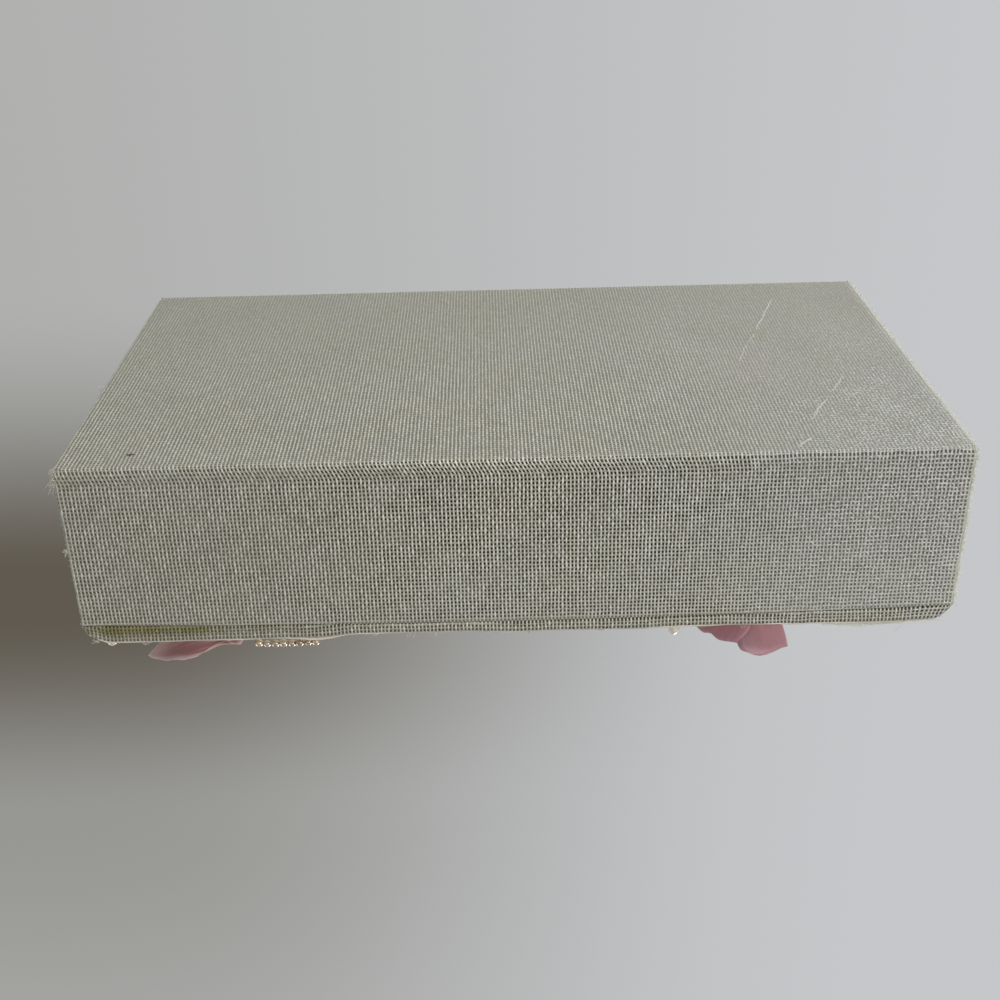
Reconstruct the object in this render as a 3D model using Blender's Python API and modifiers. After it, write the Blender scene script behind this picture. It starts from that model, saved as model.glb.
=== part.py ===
"""Fabric covered keepsake box: a shallow tray of covered boards and a thin lid on a cloth hinge.

Metres, +Z up. The origin is the middle of the underside, on the surface that the box stands on.
+X runs along the box and +Y points to the hinge side. The lid's face carries cloth flowers and beads.
"""

import math

import bmesh
import bpy
from mathutils import Matrix, Vector

# Overall sizes of the box
box_length = 0.232
box_depth = 0.131
tray_height = 0.04615

# Boards, cloths and cards
board = 0.002
lid_board_thickness = 0.002
cloth = 0.0005
thin_cloth = 0.0003
card = 0.0008
seam = 0.0003
fold_radius = 0.001
fold_steps = 4
cloth_turn_in = 0.012
overrun = 0.002

# The joint between tray and lid
lid_rest_gap = 0.0003
groove_height = 0.0018
groove_depth = 0.0004
joint_leaf = 0.010
liner_fold_in = 0.0012

# The linings
lining_below_rim = 0.001
lid_lining_play = 0.0009

# The decorated face
satin = 0.0004
satin_inset = 0.0004
hinge_margin = 0.0018
front_margin = 0.009
petal_cloth = 0.00035

# Beads, pearls and their thread
bead_diameter = 0.00205
thread_diameter = 0.0006
edge_row_beads = 8
edge_row_pitch = 0.00225
edge_row_bow = 0.0013
spray_beads = 9
spray_bow = 0.006
pearl_diameter = 0.0036
ring_beads = 6
eyelet_thickness = 0.0006
bead_sides = 6
bead_rings = 5
pearl_sides = 10
pearl_rings = 8

# Flowers: outer radius, and how high the outer petals stand over the face
side_flower_radius = 0.0165
side_flower_rise = 0.0085
main_flower_radius = 0.0235
main_flower_rise = 0.0095
small_flower_radius = 0.0125
small_flower_rise = 0.0065
petals_per_flower = 5
steps_per_petal = 6
radial_steps = 4

# Leaves and loose petals
leaf_length = 0.021
leaf_width = 0.009
leaf_rise = 0.0022
petal_length = 0.013
petal_width = 0.011
petal_rise = 0.0035
blade_steps = 7

# Shapes as shares: a layer's notch between petals, its cup, and the size of each further layer
notch_share = 0.5
cup_power_share = 1.6
layer_radius_shares = (1.0, 0.66, 0.42)
layer_rise_shares = (1.0, 0.97, 0.85)
lobe_power_share = 0.5
blade_dish_share = 0.25
leaf_widest_share = 0.4
petal_widest_share = 0.6
leaf_start_share = 0.5
leaf_turn_shares = (1.0, -0.42, 0.1, -0.75)
spray_start_share = 0.68

# The groove's section: how far in each point is, and how high, as shares of the groove's depth and height
groove_shares = ((0, 0), (0, 0.125), (1, 0.375), (1, 0.625), (0, 0.875), (0, 1))

# Places across the lid's face, as shares of its half length and half depth
left_flower_share = -0.775
right_flower_share = 0.54
main_flower_shares = (-0.07, -0.08)
front_left_flower_share = -0.70
front_right_flower_share = 0.73
edge_row_share = -0.537
hinge_petal_shares = (0.02, 0.19, -0.34)
front_petal_shares = (-0.36, 0.27)
hinge_pearl_shares = (-0.965, 0.368, 0.83)
front_pearl_shares = (-0.16, 0.44)

# Colours, roughness and metallic value of each finish
finishes = {
    "greyboard": ((0.33, 0.31, 0.27), 0.9, 0.0),
    "cover_cloth": ((0.46, 0.44, 0.39), 0.75, 0.1),
    "lining_satin": ((0.74, 0.69, 0.58), 0.5, 0.0),
    "ivory_satin": ((0.78, 0.73, 0.62), 0.4, 0.0),
    "pale_pink_cloth": ((0.62, 0.36, 0.38), 0.6, 0.0),
    "dusty_pink_cloth": ((0.42, 0.20, 0.22), 0.65, 0.0),
    "cream_cloth": ((0.75, 0.68, 0.56), 0.6, 0.0),
    "sage_cloth": ((0.30, 0.32, 0.22), 0.7, 0.0),
    "bronze_bead": ((0.42, 0.30, 0.16), 0.3, 0.8),
    "pearl": ((0.80, 0.76, 0.68), 0.25, 0.1),
}

# Distances inwards from the outside, and heights, worked out from the sizes above
half_length = box_length / 2
half_depth = box_depth / 2
skin = cloth + seam
wall_inside = skin + board
leaf_outside = wall_inside + seam
leaf_inside = leaf_outside + cloth
lining_outside = leaf_inside + seam
lining_inside = lining_outside + card
base_top = skin + board
floor_low = base_top + seam
floor_top = floor_low + card
board_top = tray_height - skin
lid_low = tray_height + lid_rest_gap
lid_board_low = lid_low + skin
lid_board_high = lid_board_low + lid_board_thickness
lid_high = lid_board_high + skin
face_low = lid_high + seam
face_high = face_low + satin
decor_low = face_high + seam
groove_middle = (tray_height + lid_low) / 2
groove_low = groove_middle - groove_height / 2
groove_high = groove_middle + groove_height / 2
bead_radius = bead_diameter / 2
pearl_radius = pearl_diameter / 2


# Scene, collections and materials

def clear_scene():
    for thing in list(bpy.data.objects):
        bpy.data.objects.remove(thing, do_unlink=True)


def new_collection(name):
    collection = bpy.data.collections.new(name)
    bpy.context.scene.collection.children.link(collection)
    return collection


def finish_material(name):
    found = bpy.data.materials.get(name)
    if found:
        return found
    colour, roughness, metallic = finishes[name]
    material = bpy.data.materials.new(name)
    material.use_nodes = True
    shader = material.node_tree.nodes["Principled BSDF"]
    shader.inputs["Base Color"].default_value = (*colour, 1)
    shader.inputs["Roughness"].default_value = roughness
    shader.inputs["Metallic"].default_value = metallic
    material.diffuse_color = (*colour, 1)
    return material


def add_part(name, mesh, finish):
    part = bpy.data.objects.new(name, mesh)
    parts.objects.link(part)
    mesh.materials.append(finish_material(finish))
    return part


def add_helper(name, mesh):
    """A shape that a Boolean reads, which is no part of the box."""
    helper = bpy.data.objects.new(name, mesh)
    cutters.objects.link(helper)
    helper.hide_render = True
    helper.display_type = "WIRE"
    return helper


def mesh_from(form, name):
    mesh = bpy.data.meshes.new(name)
    form.to_mesh(mesh)
    form.free()
    return mesh


def combine(part, helper, operation):
    step = part.modifiers.new(helper.name, "BOOLEAN")
    step.operation = operation
    step.object = helper


# Boxes and cuts

def box_mesh(name, low, high, round_uprights=False):
    size = Vector(high) - Vector(low)
    middle = (Vector(high) + Vector(low)) / 2
    form = bmesh.new()
    bmesh.ops.create_cube(form, size=1, matrix=Matrix.LocRotScale(middle, None, size))
    if round_uprights:
        uprights = [edge for edge in form.edges if is_upright(edge)]
        bmesh.ops.bevel(form, geom=uprights, offset=fold_radius, segments=fold_steps,
                        affect="EDGES", profile=0.5)
    return mesh_from(form, name)


def is_upright(edge):
    along = edge.verts[0].co - edge.verts[1].co
    return abs(along.z) > abs(along.x) + abs(along.y)


def add_box(name, low, high, finish, round_uprights=False):
    return add_part(name, box_mesh(name, low, high, round_uprights), finish)


def cut_box(part, name, low, high):
    combine(part, add_helper(name, box_mesh(name, low, high)), "DIFFERENCE")


# Sheets whose section is the same all along X

def strip_along_x(name, section, end_inset, thickness, finish):
    """A strip over the section's (y, z) points, with its thickness on the left of their direction."""
    form = bmesh.new()
    reach = half_length - end_inset
    rows = [(form.verts.new((-reach, y, z)), form.verts.new((reach, y, z))) for y, z in section]
    for (left, right), (next_left, next_right) in zip(rows, rows[1:]):
        form.faces.new((left, right, next_right, next_left))
    strip = add_part(name, mesh_from(form, name), finish)
    thick = strip.modifiers.new("thickness", "SOLIDIFY")
    thick.thickness = thickness
    thick.offset = 1
    thick.use_even_offset = True
    thick.use_quality_normals = True
    return strip


def quarter_turn(middle, radius, start):
    """Points of a quarter circle in the YZ plane, anticlockwise from the start angle."""
    angles = [start + math.pi / 2 * step / fold_steps for step in range(fold_steps + 1)]
    return [(middle[0] + radius * math.cos(a), middle[1] + radius * math.sin(a)) for a in angles]


# Tray

def build_boards():
    reach = half_length - skin
    front = -half_depth + skin
    back = half_depth - skin
    side_front = front + board + seam
    side_back = back - board - seam
    add_box("base_board", (-reach, front, skin), (reach, back, base_top), "greyboard")
    add_box("spine_board", (-reach, back - board, floor_low), (reach, back, board_top), "greyboard")
    add_box("front_wall_board", (-reach, front, floor_low), (reach, front + board, board_top), "greyboard")
    left = (-reach, side_front, floor_low), (-reach + board, side_back, board_top)
    right = (reach - board, side_front, floor_low), (reach, side_back, board_top)
    add_box("left_wall_board", *left, "greyboard")
    add_box("right_wall_board", *right, "greyboard")


def build_case_cloth():
    """The underside and the spine in one piece, with a soft fold between them."""
    corner = (half_depth - fold_radius, fold_radius)
    fold = quarter_turn(corner, fold_radius, -math.pi / 2)
    section = [(-half_depth, 0), *fold, (half_depth, groove_low - seam)]
    strip_along_x("case_cloth", section, 0, cloth, "cover_cloth")


def build_wall_cloth():
    """The cover of the other three walls, folded over the rim and down inside."""
    back = half_depth - cloth - groove_depth - seam
    wall = add_box("wall_cloth", (-half_length, -half_depth, skin), (half_length, back, tray_height),
                   "cover_cloth", round_uprights=True)
    past = back + overrun
    inner_x = half_length - leaf_inside
    inner_front = -half_depth + leaf_inside
    cut_box(wall, "cut_tray_inside", (-inner_x, inner_front, -overrun),
            (inner_x, past, tray_height + overrun))
    slot_x = half_length - cloth
    slot_front = -half_depth + cloth
    slot_top = tray_height - cloth
    leaf_x = half_length - leaf_outside
    leaf_front = -half_depth + leaf_outside
    cut_box(wall, "cut_front_slot", (-slot_x, slot_front, -overrun), (slot_x, leaf_front, slot_top))
    cut_box(wall, "cut_left_slot", (-slot_x, slot_front, -overrun), (-leaf_x, past, slot_top))
    cut_box(wall, "cut_right_slot", (leaf_x, slot_front, -overrun), (slot_x, past, slot_top))
    cut_box(wall, "cut_below_leaf", (-slot_x, slot_front, -overrun),
            (slot_x, past, tray_height - cloth_turn_in))
    leaf_end = half_depth - lining_outside
    cut_box(wall, "cut_leaf_end", (-slot_x, leaf_end, -overrun), (slot_x, past, slot_top))


def build_linings():
    high = board_top - lining_below_rim
    low = floor_top + seam
    floor_x = half_length - leaf_outside
    floor_y = half_depth - leaf_outside
    add_box("floor_lining", (-floor_x, -floor_y, floor_low), (floor_x, floor_y, floor_top), "lining_satin")
    out_x = half_length - lining_outside
    out_y = half_depth - lining_outside
    in_x = half_length - lining_inside
    in_y = half_depth - lining_inside
    side_y = in_y - seam
    add_box("front_lining", (-out_x, -out_y, low), (out_x, -in_y, high), "lining_satin")
    add_box("back_lining", (-out_x, in_y, low), (out_x, out_y, high), "lining_satin")
    add_box("left_lining", (-out_x, -side_y, low), (-in_x, side_y, high), "lining_satin")
    add_box("right_lining", (in_x, -side_y, low), (out_x, side_y, high), "lining_satin")


# Hinge

def build_hinge():
    """The cover cloth pressed into the groove, and the strip of lining cloth folded inside the joint."""
    groove = []
    for depth_share, height_share in groove_shares:
        groove.append((half_depth - groove_depth * depth_share, groove_low + groove_height * height_share))
    strip_along_x("hinge_cloth", groove, skin, cloth, "cover_cloth")
    inside = half_depth - leaf_outside
    fold = half_depth - skin - liner_fold_in
    low_leaf = board_top + seam
    high_leaf = lid_board_low - seam
    liner = [
        (inside, board_top - joint_leaf),
        (inside, low_leaf),
        (fold, low_leaf),
        (fold, high_leaf),
        (inside - joint_leaf, high_leaf),
    ]
    strip_along_x("hinge_liner", liner, lining_outside, thin_cloth, "lining_satin")


# Lid

def build_lid():
    reach = half_length - skin
    span = half_depth - skin
    add_box("lid_board", (-reach, -span, lid_board_low), (reach, span, lid_board_high), "greyboard")
    cover = add_box("lid_cloth", (-half_length, -half_depth, lid_low), (half_length, half_depth, lid_high),
                    "cover_cloth", round_uprights=True)
    slot_x = half_length - cloth
    slot_y = half_depth - cloth
    cut_box(cover, "cut_lid_board", (-slot_x, -slot_y, lid_low + cloth), (slot_x, slot_y, lid_high - cloth))
    under = lid_low - overrun
    inside = lid_board_low + lid_board_thickness / 2
    open_x = half_length - cloth_turn_in
    open_y = half_depth - cloth_turn_in
    cut_box(cover, "cut_under_lid", (-open_x, -open_y, under), (open_x, open_y, inside))
    joint_front = half_depth - leaf_outside - joint_leaf - seam
    joint_back = half_depth + overrun
    cut_box(cover, "cut_at_joint", (-slot_x, joint_front, under), (slot_x, joint_back, groove_high + seam))
    lining_x = half_length - leaf_inside - lid_lining_play
    lining_y = half_depth - leaf_inside - lid_lining_play
    lining_high = lid_low - seam
    add_box("lid_lining", (-lining_x, -lining_y, lining_high - card), (lining_x, lining_y, lining_high),
            "lining_satin")
    panel_x = half_length - satin_inset
    panel_y = half_depth - satin_inset
    add_box("satin_panel", (-panel_x, -panel_y, face_low), (panel_x, panel_y, face_high),
            "ivory_satin", round_uprights=True)


# Flowers, leaves and petals

def thicken_up(part):
    thick = part.modifiers.new("petal cloth", "SOLIDIFY")
    thick.thickness = petal_cloth
    thick.offset = 1
    thick.use_quality_normals = True
    part.data.shade_smooth()


def cup_height(share, rise):
    """How high a flower's layer stands at a share of its radius."""
    return rise * share ** cup_power_share


def flower_layer(name, middle, low, radius, rise, turn, finish):
    """Petals in one piece: a round sheet, notched between the petals and cupped upwards."""
    form = bmesh.new()
    around = petals_per_flower * steps_per_petal
    hub = form.verts.new((middle[0], middle[1], low))
    rings = []
    for step in range(1, radial_steps + 1):
        share = step / radial_steps
        ring = []
        for index in range(around):
            lobe = abs(math.sin(math.pi * index / steps_per_petal)) ** lobe_power_share
            reach = radius * share * (1 - (1 - notch_share) * (1 - lobe) * share ** 2)
            angle = turn + 2 * math.pi * index / around
            height = cup_height(reach / radius, rise)
            ring.append(form.verts.new((middle[0] + reach * math.cos(angle),
                                        middle[1] + reach * math.sin(angle), low + height)))
        rings.append(ring)
    for index in range(around):
        after = (index + 1) % around
        form.faces.new((hub, rings[0][index], rings[0][after]))
        for inner, outer in zip(rings, rings[1:]):
            form.faces.new((inner[index], outer[index], outer[after], inner[after]))
    thicken_up(add_part(name, mesh_from(form, name), finish))


def ball(form, place, radius, sides, rings):
    bmesh.ops.create_uvsphere(form, u_segments=sides, v_segments=rings, radius=radius,
                              matrix=Matrix.Translation(place))


def flower_centre(name, middle, low, radius, rise, finish):
    """A pearl in a ring of small beads, sewn through a flat eyelet that sits in the innermost cup."""
    ring_radius = pearl_radius + bead_radius + seam / 2
    rim_share = ring_radius / radius
    seat = low + cup_height(rim_share, rise) + petal_cloth + seam
    plate = bmesh.new()
    lift = Matrix.Translation((middle[0], middle[1], seat + eyelet_thickness / 2))
    bmesh.ops.create_cone(plate, cap_ends=True, segments=pearl_sides, radius1=ring_radius,
                          radius2=ring_radius, depth=eyelet_thickness, matrix=lift)
    centre = add_part(name, mesh_from(plate, name), finish)
    top = seat + eyelet_thickness
    balls = bmesh.new()
    sink = eyelet_thickness / 2
    ball(balls, (middle[0], middle[1], top + pearl_radius - sink), pearl_radius, pearl_sides, pearl_rings)
    for index in range(ring_beads):
        angle = 2 * math.pi * index / ring_beads
        place = (middle[0] + ring_radius * math.cos(angle), middle[1] + ring_radius * math.sin(angle),
                 top + bead_radius - sink)
        ball(balls, place, bead_radius, bead_sides, bead_rings)
    combine(centre, add_helper(name + "_beads", mesh_from(balls, name + "_beads")), "UNION")


def flower(name, middle, radius, rise, layers, finish_names):
    """Layers of petals, each smaller and turned by half a petal, and a beaded centre."""
    low = decor_low
    half_petal = math.pi / petals_per_flower
    layer_words = ("outer", "middle", "inner")
    for layer in range(layers):
        layer_radius = radius * layer_radius_shares[layer]
        layer_rise = rise * layer_rise_shares[layer]
        turn = math.pi / 2 + half_petal * (layer + 1)
        word = "inner" if layer and layer == layers - 1 else layer_words[layer]
        flower_layer(f"{name}_{word}", middle, low, layer_radius, layer_rise, turn, finish_names[layer])
        low += petal_cloth + seam
    low -= petal_cloth + seam
    flower_centre(f"{name}_centre", middle, low, layer_radius, layer_rise, "bronze_bead")


def blade(name, start, direction, length, width, rise, widest_share, finish):
    """A leaf or petal: pointed where it starts, widest at a share of its length, and lifted at its tip."""
    form = bmesh.new()
    along = Vector((math.cos(direction), math.sin(direction), 0))
    across = Vector((-math.sin(direction), math.cos(direction), 0))
    origin = Vector((start[0], start[1], decor_low))
    bend = math.log(0.5) / math.log(widest_share)
    rows = []
    for step in range(blade_steps + 1):
        share = step / blade_steps
        half = width / 2 * math.sin(math.pi * share ** bend)
        spine = origin + along * length * share + Vector((0, 0, rise * share ** 2))
        if step in (0, blade_steps):
            rows.append([form.verts.new(spine)])
            continue
        edge_lift = Vector((0, 0, half * blade_dish_share))
        rows.append([form.verts.new(spine - across * half + edge_lift), form.verts.new(spine),
                     form.verts.new(spine + across * half + edge_lift)])
    for row, after in zip(rows, rows[1:]):
        if len(row) == 1:
            form.faces.new((row[0], after[0], after[1]))
            form.faces.new((row[0], after[1], after[2]))
        elif len(after) == 1:
            form.faces.new((row[0], after[0], row[1]))
            form.faces.new((row[1], after[0], row[2]))
        else:
            form.faces.new((row[0], after[0], after[1], row[1]))
            form.faces.new((row[1], after[1], after[2], row[2]))
    bmesh.ops.recalc_face_normals(form, faces=form.faces)
    if sum(face.normal.z for face in form.faces) < 0:
        bmesh.ops.reverse_faces(form, faces=form.faces)
    thicken_up(add_part(name, mesh_from(form, name), finish))


# Beads on their thread

def thread_mesh(name, points):
    """A round thread through the points, as a closed mesh."""
    curve = bpy.data.curves.new(name, "CURVE")
    curve.dimensions = "3D"
    curve.bevel_depth = thread_diameter / 2
    curve.bevel_resolution = 1
    curve.use_fill_caps = True
    spline = curve.splines.new("POLY")
    spline.points.add(len(points) - 1)
    for place, point in zip(points, spline.points):
        point.co = (*place, 1)
    line = bpy.data.objects.new(name, curve)
    parts.objects.link(line)
    bpy.context.view_layer.update()
    seen = line.evaluated_get(bpy.context.evaluated_depsgraph_get())
    mesh = bpy.data.meshes.new_from_object(seen)
    bpy.data.objects.remove(line, do_unlink=True)
    form = bmesh.new()
    form.from_mesh(mesh)
    bmesh.ops.remove_doubles(form, verts=form.verts, dist=seam / 100)
    form.to_mesh(mesh)
    form.free()
    return mesh


def bead_string(name, places, finish):
    """Beads at the places, held together by the thread that runs through them."""
    thread = add_part(name, thread_mesh(name, places), finish)
    balls = bmesh.new()
    for place in places:
        ball(balls, place, bead_radius, bead_sides, bead_rings)
    combine(thread, add_helper(name + "_beads", mesh_from(balls, name + "_beads")), "UNION")
    thread.data.shade_smooth()


def edge_row():
    """The row of touching beads near the hinge edge, bowed up a little in its middle."""
    middle = edge_row_share * half_length
    y = half_depth - hinge_margin - bead_radius
    places = []
    for index in range(edge_row_beads):
        share = index / (edge_row_beads - 1)
        x = middle + (share - 0.5) * edge_row_pitch * (edge_row_beads - 1)
        z = decor_low + bead_radius + edge_row_bow * math.sin(math.pi * share)
        places.append((x, y, z))
    bead_string("edge_bead_row", places, "bronze_bead")


def spray(name, start_flower, end_flower, side):
    """A bowed string of spaced beads from under one flower to under another."""
    start, start_radius = start_flower
    end, end_radius = end_flower
    line = Vector(end) - Vector(start)
    along = line.normalized()
    across = Vector((-along.y, along.x)) * side
    first = Vector(start) + along * start_radius * spray_start_share
    last = Vector(end) - along * end_radius * spray_start_share
    places = []
    for index in range(spray_beads):
        share = index / (spray_beads - 1)
        place = first.lerp(last, share) + across * spray_bow * math.sin(math.pi * share)
        places.append((place.x, place.y, decor_low + bead_radius))
    bead_string(name, places, "bronze_bead")


def pearl(name, x, y):
    form = bmesh.new()
    ball(form, (x, y, decor_low + pearl_radius), pearl_radius, pearl_sides, pearl_rings)
    add_part(name, mesh_from(form, name), "pearl").data.shade_smooth()


# The lid's decoration

def build_decoration():
    hinge_edge = half_depth - hinge_margin
    front_edge = -half_depth + front_margin
    left = (left_flower_share * half_length, hinge_edge - side_flower_radius)
    right = (right_flower_share * half_length, hinge_edge - side_flower_radius)
    main = (main_flower_shares[0] * half_length, main_flower_shares[1] * half_depth)
    front_left = (front_left_flower_share * half_length, front_edge + small_flower_radius)
    front_right = (front_right_flower_share * half_length, front_edge + small_flower_radius)

    flower("left_flower", left, side_flower_radius, side_flower_rise, 2,
           ("pale_pink_cloth", "cream_cloth"))
    flower("right_flower", right, side_flower_radius, side_flower_rise, 2,
           ("dusty_pink_cloth", "pale_pink_cloth"))
    flower("main_flower", main, main_flower_radius, main_flower_rise, 3,
           ("dusty_pink_cloth", "pale_pink_cloth", "cream_cloth"))
    flower("front_left_flower", front_left, small_flower_radius, small_flower_rise, 1,
           ("cream_cloth",))
    flower("front_right_flower", front_right, small_flower_radius, small_flower_rise, 1,
           ("pale_pink_cloth",))

    edge_row()
    main_end = (main, main_flower_radius)
    spray("left_spray", main_end, (left, side_flower_radius), -1)
    spray("right_spray", main_end, (right, side_flower_radius), 1)
    spray("front_left_spray", main_end, (front_left, small_flower_radius), 1)
    spray("front_right_spray", main_end, (front_right, small_flower_radius), -1)

    leaf_flowers = ((main, main_flower_radius), (main, main_flower_radius),
                    (right, side_flower_radius), (left, side_flower_radius))
    for index, (middle, radius) in enumerate(leaf_flowers):
        angle = leaf_turn_shares[index] * math.pi
        start = (middle[0] + radius * leaf_start_share * math.cos(angle),
                 middle[1] + radius * leaf_start_share * math.sin(angle))
        blade(f"leaf_{index + 1}", start, angle, leaf_length, leaf_width, leaf_rise,
              leaf_widest_share, "sage_cloth")

    for index, share in enumerate(hinge_petal_shares):
        start = (share * half_length, hinge_edge - petal_length)
        blade(f"hinge_petal_{index + 1}", start, math.pi / 2, petal_length, petal_width, petal_rise,
              petal_widest_share, "pale_pink_cloth")
    for index, share in enumerate(front_petal_shares):
        start = (share * half_length, front_edge + petal_length)
        blade(f"front_petal_{index + 1}", start, -math.pi / 2, petal_length, petal_width, petal_rise,
              petal_widest_share, "cream_cloth")

    for index, share in enumerate(hinge_pearl_shares):
        pearl(f"hinge_pearl_{index + 1}", share * half_length, hinge_edge - pearl_radius)
    for index, share in enumerate(front_pearl_shares):
        pearl(f"front_pearl_{index + 1}", share * half_length, front_edge + pearl_radius)


clear_scene()
parts = new_collection("fabric_box")
cutters = new_collection("cutters")
build_boards()
build_case_cloth()
build_wall_cloth()
build_linings()
build_hinge()
build_lid()
build_decoration()
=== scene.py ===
import math
import random

import bmesh
import bpy
from mathutils import Matrix, Vector, noise


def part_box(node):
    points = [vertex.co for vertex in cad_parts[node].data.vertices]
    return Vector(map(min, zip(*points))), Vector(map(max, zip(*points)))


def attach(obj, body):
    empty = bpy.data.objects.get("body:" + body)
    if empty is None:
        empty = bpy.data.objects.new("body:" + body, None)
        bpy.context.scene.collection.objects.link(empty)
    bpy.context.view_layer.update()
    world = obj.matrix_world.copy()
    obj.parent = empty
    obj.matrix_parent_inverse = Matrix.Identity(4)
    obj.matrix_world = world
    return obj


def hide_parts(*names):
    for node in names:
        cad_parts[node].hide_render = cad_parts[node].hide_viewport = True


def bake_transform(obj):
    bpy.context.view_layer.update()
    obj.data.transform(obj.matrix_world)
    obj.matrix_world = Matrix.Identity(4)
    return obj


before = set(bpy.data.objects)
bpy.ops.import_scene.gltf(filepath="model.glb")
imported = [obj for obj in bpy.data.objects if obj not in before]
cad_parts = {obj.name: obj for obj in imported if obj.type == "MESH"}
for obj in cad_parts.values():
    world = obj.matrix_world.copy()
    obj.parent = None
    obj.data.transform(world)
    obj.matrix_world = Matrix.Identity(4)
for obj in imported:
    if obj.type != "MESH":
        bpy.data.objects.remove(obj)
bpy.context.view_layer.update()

mm = 0.001


# small helpers

def blendValue(a, b, share):
    return a + (b - a) * share


def smooth(value, low, high):
    share = min(1, max(0, (value - low) / (high - low)))
    return share * share * (3 - 2 * share)


def bump(value, middle, width):
    return math.exp(-((value - middle) / width) ** 2)


def wave(place, size, seed):
    # soft noise from -1 to 1, the same each run
    return noise.noise(Vector(place) / size + Vector((seed * 7.3, seed * 3.1, seed * 1.7)))


def steps(low, high, pitch):
    # evenly spaced values from low to high, both ends kept
    count = max(1, round(abs(high - low) / pitch))
    return [low + (high - low) * i / count for i in range(count + 1)]


def ring(radius, height, count):
    # points once round, with the first one again at the end
    angles = [math.tau * i / count for i in range(count + 1)]
    return [Vector((radius * math.cos(a), radius * math.sin(a), height)) for a in angles]


def headings(points):
    # which way a line of points goes at each of them
    last = len(points) - 1
    return [(points[min(i + 1, last)] - points[max(i - 1, 0)]).normalized() for i in range(last + 1)]


def meshOf(form, name):
    mesh = bpy.data.meshes.new(name)
    form.to_mesh(mesh)
    form.free()
    return mesh


def meshFromRows(name, rows, maps, weld=0, flip=False, capFirst=False, close=False):
    # quads over rows of points, where None leaves a hole; maps holds one (u, v) per point for each UV layer
    form = bmesh.new()
    layers = {key: form.loops.layers.uv.new(key) for key in maps}
    grid = [[None if point is None else form.verts.new(point) for point in row] for row in rows]
    for r in range(len(rows) - 1):
        for c in range(len(rows[r]) - 1):
            corners = [(r, c), (r, c + 1), (r + 1, c + 1), (r + 1, c)]
            if flip:
                corners.reverse()
            if any(grid[i][j] is None for i, j in corners):
                continue
            face = form.faces.new([grid[i][j] for i, j in corners])
            face.smooth = True
            for loop, (i, j) in zip(face.loops, corners):
                for key, layer in layers.items():
                    loop[layer].uv = maps[key][i][j]
    if capFirst:
        form.faces.new(grid[0][:-1] if flip else grid[0][-2::-1])
    if weld:
        bmesh.ops.remove_doubles(form, verts=form.verts, dist=weld)
    if close:
        bmesh.ops.holes_fill(form, edges=form.edges, sides=0)
        bmesh.ops.recalc_face_normals(form, faces=form.faces)
    return meshOf(form, name)


def clothMesh(name, cells, **options):
    # cells holds rows of (point, threads, touch, shine), where the last three are places in the cloth's maps
    rows = [[cell[0] for cell in row] for row in cells]
    maps = {key: [[cell[i] for cell in row] for row in cells]
            for i, key in enumerate(("threads", "touch", "shine"), 1)}
    return meshFromRows(name, rows, maps, **options)


def joinMeshes(name, parts):
    # parts is a list of (mesh, material index); the result is one mesh
    form = bmesh.new()
    for mesh, index in parts:
        before = len(form.faces)
        form.from_mesh(mesh)
        form.faces.ensure_lookup_table()
        for face in form.faces[before:]:
            face.material_index = index
            face.smooth = True
        bpy.data.meshes.remove(mesh)
    return meshOf(form, name)


def addPiece(name, mesh, *materials):
    piece = bpy.data.objects.new(name, mesh)
    bpy.context.scene.collection.objects.link(piece)
    for material in materials:
        mesh.materials.append(material)
    return piece


def thicken(piece, thickness, offset=-1):
    thick = piece.modifiers.new("thickness", "SOLIDIFY")
    thick.thickness = thickness
    thick.offset = offset
    thick.use_quality_normals = True
    return piece


def applyAll(piece):
    # the mesh as its modifiers leave it, for pieces that span the joint
    bpy.context.view_layer.update()
    seen = piece.evaluated_get(bpy.context.evaluated_depsgraph_get())
    piece.data = bpy.data.meshes.new_from_object(seen)
    piece.modifiers.clear()
    return piece


# shader helpers

def newGroup(name, inputs, outputs):
    # an input without a value is a vector, and every other socket a number
    group = bpy.data.node_groups.new(name, "ShaderNodeTree")
    for label, value in inputs.items():
        kind = "NodeSocketVector" if value is None else "NodeSocketFloat"
        socket = group.interface.new_socket(label, in_out="INPUT", socket_type=kind)
        if value is not None:
            socket.default_value = value
    for label in outputs:
        group.interface.new_socket(label, in_out="OUTPUT", socket_type="NodeSocketFloat")
    source = group.nodes.new("NodeGroupInput")
    target = group.nodes.new("NodeGroupOutput")
    return group, source.outputs, target.inputs


def feed(tree, value, socket):
    if isinstance(value, bpy.types.NodeSocket):
        tree.links.new(value, socket)
    else:
        socket.default_value = value


def feedAll(tree, sockets, values):
    for label, value in values.items():
        feed(tree, value, sockets[label])


def calc(tree, operation, *values, clamp=False):
    node = tree.nodes.new("ShaderNodeMath")
    node.operation = operation
    node.use_clamp = clamp
    for value, socket in zip(values, node.inputs):
        feed(tree, value, socket)
    return node.outputs[0]


def plus(tree, a, b):
    return calc(tree, "ADD", a, b)


def minus(tree, a, b):
    return calc(tree, "SUBTRACT", a, b)


def times(tree, a, b, clamp=False):
    return calc(tree, "MULTIPLY", a, b, clamp=clamp)


def timesPlus(tree, a, b, c, clamp=False):
    return calc(tree, "MULTIPLY_ADD", a, b, c, clamp=clamp)


def larger(tree, a, b):
    return calc(tree, "MAXIMUM", a, b)


def joinXyz(tree, x, y, z=0):
    node = tree.nodes.new("ShaderNodeCombineXYZ")
    for value, socket in zip((x, y, z), node.inputs):
        feed(tree, value, socket)
    return node.outputs[0]


def splitXyz(tree, vector):
    node = tree.nodes.new("ShaderNodeSeparateXYZ")
    feed(tree, vector, node.inputs[0])
    return node.outputs


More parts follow.
